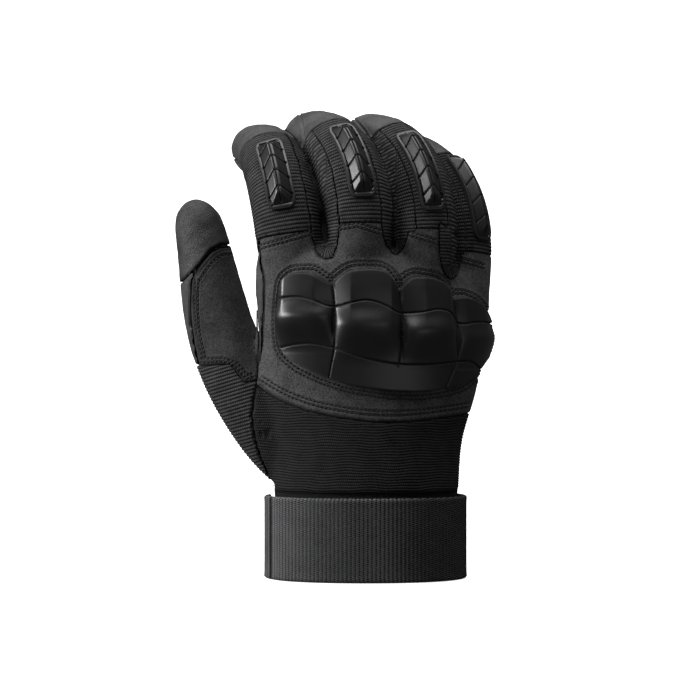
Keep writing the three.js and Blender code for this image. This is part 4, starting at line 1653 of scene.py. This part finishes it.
@dataclass
class SewnLines:
    """Rows of stitches along lines that are seen flat from the front."""

    pitch: float = 2.05
    length: float = 1.5
    thick: float = 0.3
    sides: int = 6

    def suede_rows(self) -> list[Points]:
        """The rows on the knuckle panel.

        Returns:
            Two rows round the guard, two over the hem and two under each finger's seam.
        """
        hem = along_line(rounded_line(flat_line(KNUCKLE_LINE)), 1.5)
        rows = [guard_ring(1.9), guard_ring(3.7), shifted(hem, 3.0), shifted(hem, 4.9)]
        return rows + [shifted(flat_line(seam), -off) for seam in FINGER_SEAMS for off in (1.8, 3.6)]

    def thumb_rows(self) -> list[Points]:
        """The rows on the thumb's suede.

        Returns:
            Two rows at its left edge, two at its lower edge and one under the tip's band.
        """
        left = along_line(rounded_line(flat_line(THUMB_LEFT)), 1.5)
        low = along_line(rounded_line(flat_line(THUMB_LOW), 1), 1.5)
        top = along_line(rounded_line(flat_line(THUMB_TOP)), 1.5)
        offs = ((left, 1.5), (left, 3.2), (low, 1.3), (low, 3.0), (top, -3.4))
        return [shifted(line, off) for line, off in offs]

    def build(
        self, form: HandForm, material: bpy.types.Material, rows: list[Points], name: str
    ) -> None:
        """Sews rows of stitches on the skin.

        Args:
            form: the hand form.
            material: the thread.
            rows: the lines.
            name: the piece's name.
        """
        points, faces = [], []
        for line in rows:
            spots = along_line(line, self.pitch)
            mid = (spots[:-1] + spots[1:]) / 2
            run = unit(spots[1:] - spots[:-1])
            for m, r in zip(mid, run):
                self._stitch(form, m, r, points, faces)
        made = new_object(name, np.array(points), faces)
        shade_smooth(made, 60)
        dress(made, material, "suede")

    def _stitch(self, form: HandForm, m: Points, r: Points, points: list, faces: list) -> None:
        """Adds one stitch that dips into the cloth at both ends, if the cloth faces the front there.

        Args:
            form: the hand form.
            m: its middle.
            r: the way that it runs.
            points: every stitch's points.
            faces: every stitch's faces.
        """
        ring, sides = [], self.sides
        for t in np.linspace(-0.5, 0.5, 5):
            x, z = m + r * t * self.length
            hit = form.skin.ray_cast(Vector((x, -120, z)), Vector((0, 1, 0)))
            if hit[0] is None or hit[1].y > -0.12:
                return
            lift = self.thick * (1.0 - (2 * t) ** 4 * 1.8) - 0.2
            ring.append((np.array(hit[0]), np.array(hit[1]), lift))
        start = len(points)
        way = unit(ring[-1][0] - ring[0][0])
        for k, (place, out, lift) in enumerate(ring):
            across = np.cross(way, out)
            fat = self.thick * (1.0 if 0 < k < 4 else 0.55)
            for i in range(sides):
                a = i / sides * 2 * math.pi
                points.append(place + out * (lift + fat * math.sin(a)) + across * fat * 1.15 * math.cos(a))
        for k in range(len(ring) - 1):
            for i in range(sides):
                a, b = start + k * sides + i, start + k * sides + (i + 1) % sides
                faces.append([a, a + sides, b + sides, b])
        faces.append([start + i for i in range(sides)])
        faces.append([start + (len(ring) - 1) * sides + i for i in range(sides)][::-1])


PANELS = [
    Panel("palm", "palm_leather", 1.4, crease=0.25),
    Panel("back_knit", "ribbed_knit", 1.0, Ribs.ACROSS_HAND, 1.3, 0.34, shaded_tuck_at=40.6),
    Panel("knuckle_panel", "suede", 0.8, crease=0.12),
    *[
        Panel(f"{f.name}_back", "ribbed_knit", 0.8, Ribs.ACROSS_FINGER, 1.55, 0.42, finger=i)
        for i, f in enumerate(FINGERS)
    ],
    *[
        Panel(f"{f.name}_web", "ribbed_knit", 0.72, Ribs.ACROSS_WEB, 1.55, 0.4, finger=i)
        for i, f in enumerate(FINGERS[:3])
    ],
    *[
        Panel(f"{f.name}_tip", "tip_leather", 0.75, crease=0.5, channels=CAP_SEAMS.get(f.name, []))
        for f in FINGERS
    ],
    Panel("thumb_tip", "tip_leather", 0.75, crease=0.4),
    Panel("thumb_back", "suede", 0.7, crease=0.12, band_to="thumb_tip"),
    Panel("thumb_gusset", "ribbed_knit", 0.8, Ribs.ACROSS_THUMB_ROOT, 1.7, 0.42),
]


# Moulded guards


@dataclass
class Relief:
    """A moulded rubber form over a flat plan: an outline, grooves and a height at each place.

    place puts plan places and heights in space. spacing is the plan's mesh size, groove half a
    groove's width, roll its edge's and foot how far it reaches below the cloth.
    """

    outline: Points
    grooves: list[Points]
    place: Callable[[Points, Points], Points]
    height: Callable[[Points], Points]
    spacing: float = 0.8
    groove: float = 0.9
    groove_depth: float = 0.8
    roll: float = 0.9
    foot: float = -0.9

    def _plan(self, loop: Points, spacing: float, grooved: bool) -> tuple[Points, list]:
        """Fills the outline with triangles.

        Args:
            loop: the outline's points.
            spacing: the triangles' size.
            grooved: whether they are denser at the edge and at the grooves.

        Returns:
            The points and the faces.
        """
        low, high = loop.min(0), loop.max(0)
        xs, ys = np.arange(low[0], high[0], spacing), np.arange(low[1], high[1], spacing * 0.87)
        grid = np.array([(x + (k % 2) * spacing / 2, y) for k, y in enumerate(ys) for x in xs])
        extra = []
        edge_gap = self.roll * 1.1 if grooved else spacing * 0.5
        grid = grid[line_distance(grid, closed(loop)) > edge_gap]
        inward = loop_normals(loop)
        if not inside(loop[:1] + inward[:1] * 0.05, loop)[0]:
            inward = -inward
        if grooved:
            for off in (0.15, 0.42, 0.85):
                band = loop + inward * off * self.roll
                extra.append(band[line_distance(band, closed(loop)) > off * self.roll * 0.9])
            for line in self.grooves:
                fine = along_line(line, 0.45)
                grid = grid[line_distance(grid, line) > self.groove * 0.95]
                for off in (-0.85, -0.5, -0.2, 0.0, 0.2, 0.5, 0.85):
                    extra.append(shifted(fine, off * self.groove))
        body = np.concatenate([grid, *extra]) if extra else grid
        body = body[inside(body, loop)]
        if grooved:
            body = body[line_distance(body, closed(loop)) > 0.1 * self.roll]
        every = np.concatenate([loop, body])
        ring = list(range(len(loop)))
        made = delaunay_2d_cdt([Vector(p) for p in every.tolist()], [], [ring], 1, 1e-4)
        return np.array([tuple(v) for v in made[0]]), [list(f) for f in made[2]]

    def build(self, name: str) -> bpy.types.Object:
        """Builds the closed form.

        Args:
            name: its name.

        Returns:
            The object.
        """

        def spots(places: Points) -> list[tuple]:
            """Places rounded to be found again."""
            return [tuple(p) for p in np.round(places, 3).tolist()]

        loop = along_line(closed(self.outline), 0.6)[:-1]
        plan, faces = self._plan(loop, self.spacing, True)
        edge = line_distance(plan, closed(loop))
        high = self.height(plan)
        off = np.min([line_distance(plan, line) for line in self.grooves], 0)
        high = high - self.groove_depth * (1 - ease((off / self.groove - 0.15) / 0.45))
        e = np.clip(edge / self.roll, 0, 1)
        high = high - self.roll * 0.8 * quarter_round(e)
        top = self.place(plan, high)
        under, low_faces = self._plan(loop, 4.0, False)
        bottom = self.place(under, np.full(len(under), self.foot))
        shift = len(plan)
        key = {p: i for i, p in enumerate(spots(plan)) if edge[i] < 1e-3}
        base = {p: shift + i for i, p in enumerate(spots(under))}
        ring = [(key.get(p), base.get(p)) for p in spots(loop)]
        ring = [r for r in ring if None not in r]
        sides = [[a[0], a[1], b[1], b[0]] for a, b in zip(ring, ring[1:] + ring[:1])]
        every = faces + [[shift + v for v in f][::-1] for f in low_faces] + sides
        made = new_object(name, np.concatenate([top, bottom]), every)
        flow = np.zeros((len(top) + len(bottom), 3))
        flow[:shift, 2] = 1 - np.minimum(ease((off / self.groove - 0.4) / 0.5), ease((e - 0.5) / 0.5))
        put_flow(made, flow)
        edit_all(made, bpy.ops.mesh.normals_make_consistent, inside=False)
        return made


@dataclass
class KnuckleGuard:
    """The moulded guard over the four knuckles."""

    seat: float = 0.35
    plate: float = 1.6
    knob: float = 7.0
    block: float = 4.2
    band: float = 1.5
    # left and right valleys, left and right edges of the flat face, groove, foot, height
    rows: tuple = (
        (-0.383, -0.136, -0.34, -0.215, 0.803, 0.668, 0.95),
        (-0.136, 0.146, -0.063, 0.1, 0.79, 0.63, 1.0),
        (0.146, 0.378, 0.235, 0.335, 0.768, 0.618, 1.0),
        (0.378, 0.56, 0.42, 0.5, 0.735, 0.618, 0.55),
    )

    def height(self, plan: Points) -> Points:
        """How high the guard stands over the palm's front.

        Args:
            plan: places of its plan.

        Returns:
            The heights.
        """
        x, up = plan[:, 0] / SCALE[0], plan[:, 1] / SCALE[1]
        pick = np.clip(np.searchsorted([r[1] for r in self.rows], x, side="right"), 0, 3)
        left, right, face_left, face_right, groove, foot, high = np.array(self.rows)[pick].T
        t = np.clip((2 * x - left - right) / (right - left), -1, 1)
        to_left = np.clip((x - left) / (face_left - left), 0, 1)
        to_right = np.clip((right - x) / (right - face_right), 0, 1)
        face = np.minimum(to_left, to_right)
        dome = (1 - np.abs(t) ** 2.6) ** 0.5
        down = (groove - up) / (groove - foot)
        block = self.block * (0.75 + 0.25 * np.clip(1 + down * 1.5, 0, 1)) * (0.12 + 0.88 * face)
        fall = 0.5 + 0.5 * np.cos(math.pi * np.clip((down - 0.3) / 0.85, 0, 1))
        knob = self.band + (self.knob * dome - self.band) * fall
        turn = ease(down * 2.4)
        made = high * (block * (1 - turn) + np.maximum(knob, self.band * (0.4 + 0.6 * dome)) * turn)
        made = np.where(down > 1.15, self.band, np.maximum(made, 0.5))
        return self.seat + self.plate + made

    def build(self, form: HandForm, material: bpy.types.Material) -> None:
        """Builds and dresses the guard.

        Args:
            form: the hand form.
            material: its finish.
        """

        def place(plan: Points, high: Points) -> Points:
            """Puts plan places on the palm's front at heights."""
            at, out = form.palm_front(plan[:, 0], plan[:, 1])
            return at + out * high[:, None]

        grooves = [rounded_line(flat_line(line)) for line in GUARD_GROOVES]
        outline = rounded_line(flat_line(GUARD_OUTLINE), 2, True)
        sizes = {"spacing": 0.75, "groove": 0.95, "groove_depth": 0.9, "roll": 0.5}
        relief = Relief(outline, grooves, place, self.height, **sizes)
        made = relief.build("knuckle_guard_piece")
        shade_smooth(made, 60)
        dress(made, material, "guard_rubber", "knuckle_guard")


@dataclass
class FingerGuard:
    """The rimmed guard on the back of one finger, with a grooved roof."""

    finger: Finger
    rim: float = 1.3
    rim_width: float = 1.5
    top: float = 4.6
    segments: int = 5
    share: float = 0.44

    def build(self, form: HandForm, material: bpy.types.Material) -> None:
        """Builds and dresses the guard.

        Args:
            form: the hand form.
            material: its finish.
        """
        f = self.finger
        start, end = (share * f.length for share in f.guard)
        reach, middle = (end - start) / 2, (start + end) / 2
        wide = f.width * self.share / 2

        def half(s: Points) -> Points:
            """Half the guard's width at lengths along the finger."""
            ends = np.clip((reach - np.abs(s - middle)) / 5, 0, 1)
            return wide * (0.55 + 0.45 * np.sqrt(np.maximum(0, 1 - (1 - ends) ** 2)))

        s = np.linspace(start, end, 60)
        outline = np.concatenate([np.stack([half(s), s], 1), np.stack([-half(s), s], 1)[::-1]])

        def height(plan: Points) -> Points:
            """The guard's heights over the finger: its rim and the roof inside it.

            Args:
                plan: places of its plan.

            Returns:
                The heights.
            """
            u, s = plan.T
            inner = half(s) - self.rim_width
            to_side = np.clip((inner - np.abs(u)) / np.maximum(inner * 0.78, 0.1), 0, 1)
            to_end = np.clip((reach - self.rim_width - np.abs(s - middle)) / 4, 0, 1)
            roof = 0.5 + (self.top - 0.5) * np.minimum(to_side, to_end)
            over = (half(s) - np.abs(u)) < self.rim_width
            lip = over | (reach - np.abs(s - middle) < self.rim_width)
            return np.where(lip, self.rim, roof)

        def place(plan: Points, high: Points) -> Points:
            """Puts plan places on the finger's back.

            Args:
                plan: the places.
                high: their heights.

            Returns:
                The points.
            """
            u, s = plan.T
            at, _, side, back = form.finger_line(f, s)
            deep = form.finger_halves(f, s, 0)[1]
            return at + side * u[:, None] + back * (deep + high)[:, None]

        grooves = [np.array([[0, start + 3], [0, end - 2]])]
        for n in range(1, self.segments):
            s0 = start + (end - start) * n / self.segments
            for way in (-1, 1):
                grooves.append(np.array([[0, s0 + 1.8], [way * (wide - self.rim_width), s0 - 1.4]]))
        sizes = {"spacing": 0.55, "groove": 0.7, "groove_depth": 0.8, "roll": 0.5, "foot": -2.0}
        relief = Relief(outline, grooves, place, height, **sizes)
        made = relief.build(f"{f.name}_guard_piece")
        shade_smooth(made, 50)
        dress(made, material, "guard_rubber", f"{f.name}_guard")


@dataclass
class WristStrap:
    """The woven band round the cuff, with its folded end on the thumb's side.

    standoff is its distance from the cuff, and sink that of its sewn end. fold is how much its folded
    end stands out. start, fold_end, sink_from and end are degrees round the cuff. cord is the width
    of one cord, cord_points how many points are laid over it, and rows how many levels the band has.
    """

    height: float = 39.5
    thick: float = 2.2
    standoff: float = 1.4
    fold: float = 0.7
    width: float = 89
    depth: float = 56
    start: float = 170
    fold_end: float = 200
    end: float = 480
    sink_from: float = 380
    cord: float = 1.95
    sink: float = 0.35
    square: float = 2.2
    cord_points: int = 5
    rows: int = 22

    def _ring(self, angle: Points, out: Points) -> Points:
        """Points round the cuff at angles in degrees, moved out."""
        half_width, half_depth = self.width / 2 + out, self.depth / 2 + out
        return np.stack(rounded(np.radians(angle), half_width, half_depth, self.square), 1)

    def build(self, material: bpy.types.Material) -> None:
        """Builds and dresses the strap.

        Args:
            material: its finish.
        """
        angle = np.linspace(self.start, self.end, 2400)
        rough = self._ring(angle, np.full(len(angle), self.standoff + self.thick))
        length = np.concatenate([[0], np.cumsum(np.linalg.norm(np.diff(rough, axis=0), axis=1))])
        columns = int(length[-1] / (self.cord / self.cord_points))
        arc = np.linspace(0, length[-1], columns)
        angle = np.interp(arc, length, angle)
        off = self.standoff + (self.sink - self.standoff) * ease((angle - self.sink_from) / 60)
        folded = ease((self.fold_end - angle) / 1.2)
        stitched = hump(angle - self.fold_end - 1.0, 0.9)
        cords = 0.2 * np.cos(arc / self.cord * 2 * math.pi) * (1 - folded)
        z = self.height * (0.5 - 0.5 * np.cos(np.linspace(0, math.pi, self.rows)))
        ends = np.clip(np.minimum(arc, length[-1] - arc) / 0.9, 0, 1)
        points, flow = [], []
        for way, steps in (("out", z), ("in", z[::-1])):
            for level in steps:
                e = min(level, self.height - level)
                round_edge = math.sqrt(max(0, 1 - (1 - min(1, e)) ** 2)) * np.sqrt(1 - (1 - ends) ** 2)
                half = self.thick / 2 * np.maximum(round_edge, 0.05)
                selvedge = 0.18 * hump(e - 1.2, 0.8)
                mid = off + self.thick / 2
                raised = self.fold * folded * round_edge + cords + selvedge - 0.5 * stitched
                out = mid + half + raised if way == "out" else mid - half
                ring = self._ring(angle, out)
                points.append(np.column_stack([ring, np.full(len(ring), level)]))
                flow.append(np.column_stack([arc, np.full(len(ring), level), stitched]))
        rows, count = len(points), columns
        faces = []
        for r in range(rows):
            for c in range(count - 1):
                a, b = r * count + c, ((r + 1) % rows) * count + c
                faces.append([a, a + 1, b + 1, b])
        faces.append([r * count for r in range(rows)])
        faces.append([r * count + count - 1 for r in range(rows)][::-1])
        made = new_object("wrist_strap_piece", np.concatenate(points), faces)
        put_flow(made, np.concatenate(flow))
        shade_smooth(made, 50)
        dress(made, material, "strap_webbing", "wrist_strap")


@dataclass
class Studio:
    """The floor, the lights and the camera.

    lens and sensor are in real millimetres. turn_from and turn are where the floor turns up and how
    round, sunk is how far it lies below the cuff, and sky is the strength of the even light.
    """

    lens: float = 117.86
    sensor: float = 36
    turn_from: float = 900
    turn: float = 700
    sunk: float = 0.3
    sky: float = 0.1
    eye: tuple[float, float, float] = (-7.68, -1100.0, 108.96)

    def build(self) -> None:
        """Sets the whole studio."""
        self._floor()
        self._lights()
        self._camera()

    def _floor(self) -> None:
        """A pale floor that turns up behind the glove in one sweep."""
        start, turn, wide = self.turn_from, self.turn, 3200
        profile = [(-3000, 0), (start, 0)]
        for a in np.linspace(0.1, math.pi / 2, 16):
            profile.append((start + turn * math.sin(a), turn - turn * math.cos(a)))
        profile.append((start + turn, wide))
        points = [(x, y, z - self.sunk) for y, z in profile for x in (-wide, wide)]
        faces = [[2 * i, 2 * i + 1, 2 * i + 3, 2 * i + 2] for i in range(len(profile) - 1)]
        floor = new_object("studio_floor", np.array(points, float), faces)
        floor.data.materials.append(StudioPaint("pale floor").make())
        floor.visible_diffuse = False
        floor.visible_glossy = False

    def _light(self, name: str, place: tuple, aim: tuple, size: float, power: float) -> None:
        """Adds a soft square light.

        Args:
            name: its name.
            place: where it stands, in millimetres.
            aim: what it points at.
            size: its sides.
            power: its power in watts.
        """
        data = bpy.data.lights.new(name, "AREA")
        data.size = size * MM
        data.energy = power
        lamp = linked(name, data)
        lamp.location = Vector(place) * MM
        lamp.rotation_euler = (Vector(aim) - Vector(place)).to_track_quat("-Z", "Y").to_euler()

    def _lights(self) -> None:
        """A large key light from the upper left, a fill and a light on the backdrop."""
        self._light("key", (-950, -200, 420), (0, 0, 120), 380, 11)
        self._light("top", (-120, -260, 950), (0, 10, 140), 380, 2.2)
        self._light("fill", (500, -1100, 300), (0, 0, 100), 700, 0.9)
        self._light("sweep", (0, 500, 2400), (0, 1500, 500), 2200, 60)
        world = bpy.data.worlds.new("studio")
        world.use_nodes = True
        background = world.node_tree.nodes["Background"]
        background.inputs[0].default_value = (1, 1, 1, 1)
        background.inputs[1].default_value = self.sky
        bpy.context.scene.world = world

    def _camera(self) -> None:
        """Looks at the back of the hand from the photo's place."""
        data = bpy.data.cameras.new("camera")
        data.lens = self.lens
        data.sensor_width = self.sensor
        data.clip_end = 20
        camera = linked("camera", data)
        camera.location = Vector(self.eye) * MM
        camera.rotation_euler = (math.pi / 2, 0, 0)
        bpy.context.scene.camera = camera
        bpy.context.scene.view_settings.view_transform = "Standard"


class Finish(Enum):
    """The finish of each kind of panel."""

    FINGER_KNIT = RibbedKnit("finger knit", 1.55)
    HAND_KNIT = RibbedKnit("hand knit", 1.3, high=(0.026, 0.026, 0.027))
    GUSSET_KNIT = RibbedKnit("gusset knit", 1.7)
    SUEDE = Suede("grey suede", high=(0.105, 0.105, 0.108))
    THUMB_SUEDE = Suede("dark suede", (0.011, 0.011, 0.0115), (0.062, 0.062, 0.064))
    PALM = Leather("palm leather", (0.015, 0.015, 0.0154), (0.062, 0.062, 0.064), 0.62)
    TIPS = Leather("tip leather", (0.007, 0.007, 0.0073), (0.064, 0.064, 0.066), 0.55)
    THUMB_TIP = Leather("thumb leather", (0.004, 0.004, 0.0042), (0.048, 0.048, 0.05), 0.55)
    RUBBER = GuardRubber("moulded rubber")
    WEBBING = Webbing("woven webbing")
    THREAD = Thread("black thread")
    # Near black: the seams between the panels, painted as painted shade.
    SEAM_SHADE_LINING = Suede("shade-painted turned-in edges", (0.003, 0.003, 0.003), (0.009, 0.009, 0.009))


def finish_of(panel: Panel) -> Finish:
    """Chooses a panel's finish, by its node if that has one of its own and else by its slot.

    Args:
        panel: the panel.

    Returns:
        Its finish.
    """
    own = {
        "back_knit": Finish.HAND_KNIT,
        "thumb_gusset": Finish.GUSSET_KNIT,
        "thumb_back": Finish.THUMB_SUEDE,
        "thumb_tip": Finish.THUMB_TIP,
    }
    usual = {
        "ribbed_knit": Finish.FINGER_KNIT,
        "suede": Finish.SUEDE,
        "palm_leather": Finish.PALM,
        "tip_leather": Finish.TIPS,
    }
    return own.get(panel.node, usual[panel.slot])


def main() -> None:
    """Builds the whole scene in order."""
    logging.basicConfig(level=logging.INFO, format="%(message)s")
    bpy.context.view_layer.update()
    nodes = frame["nodes"]
    materials = {finish: finish.value.make() for finish in Finish}
    Studio().build()
    form = HandForm()
    form.build()
    form.seam_layer(materials[Finish.SEAM_SHADE_LINING])
    sewn = SewnLines()
    suede_rows, thumb_rows = sewn.suede_rows(), sewn.thumb_rows()
    for panel in PANELS:
        if panel.node == "knuckle_panel":
            panel.channels = suede_rows
        if panel.node == "thumb_back":
            panel.channels = thumb_rows
        panel.build(form, nodes, materials[finish_of(panel)])
    sewn.build(form, materials[Finish.THREAD], suede_rows, "knuckle_stitches")
    sewn.build(form, materials[Finish.THREAD], thumb_rows, "thumb_stitches")
    KnuckleGuard().build(form, materials[Finish.RUBBER])
    for finger in FINGERS:
        FingerGuard(finger).build(form, materials[Finish.RUBBER])
    WristStrap().build(materials[Finish.WEBBING])


if __name__ == "__main__":
    main()
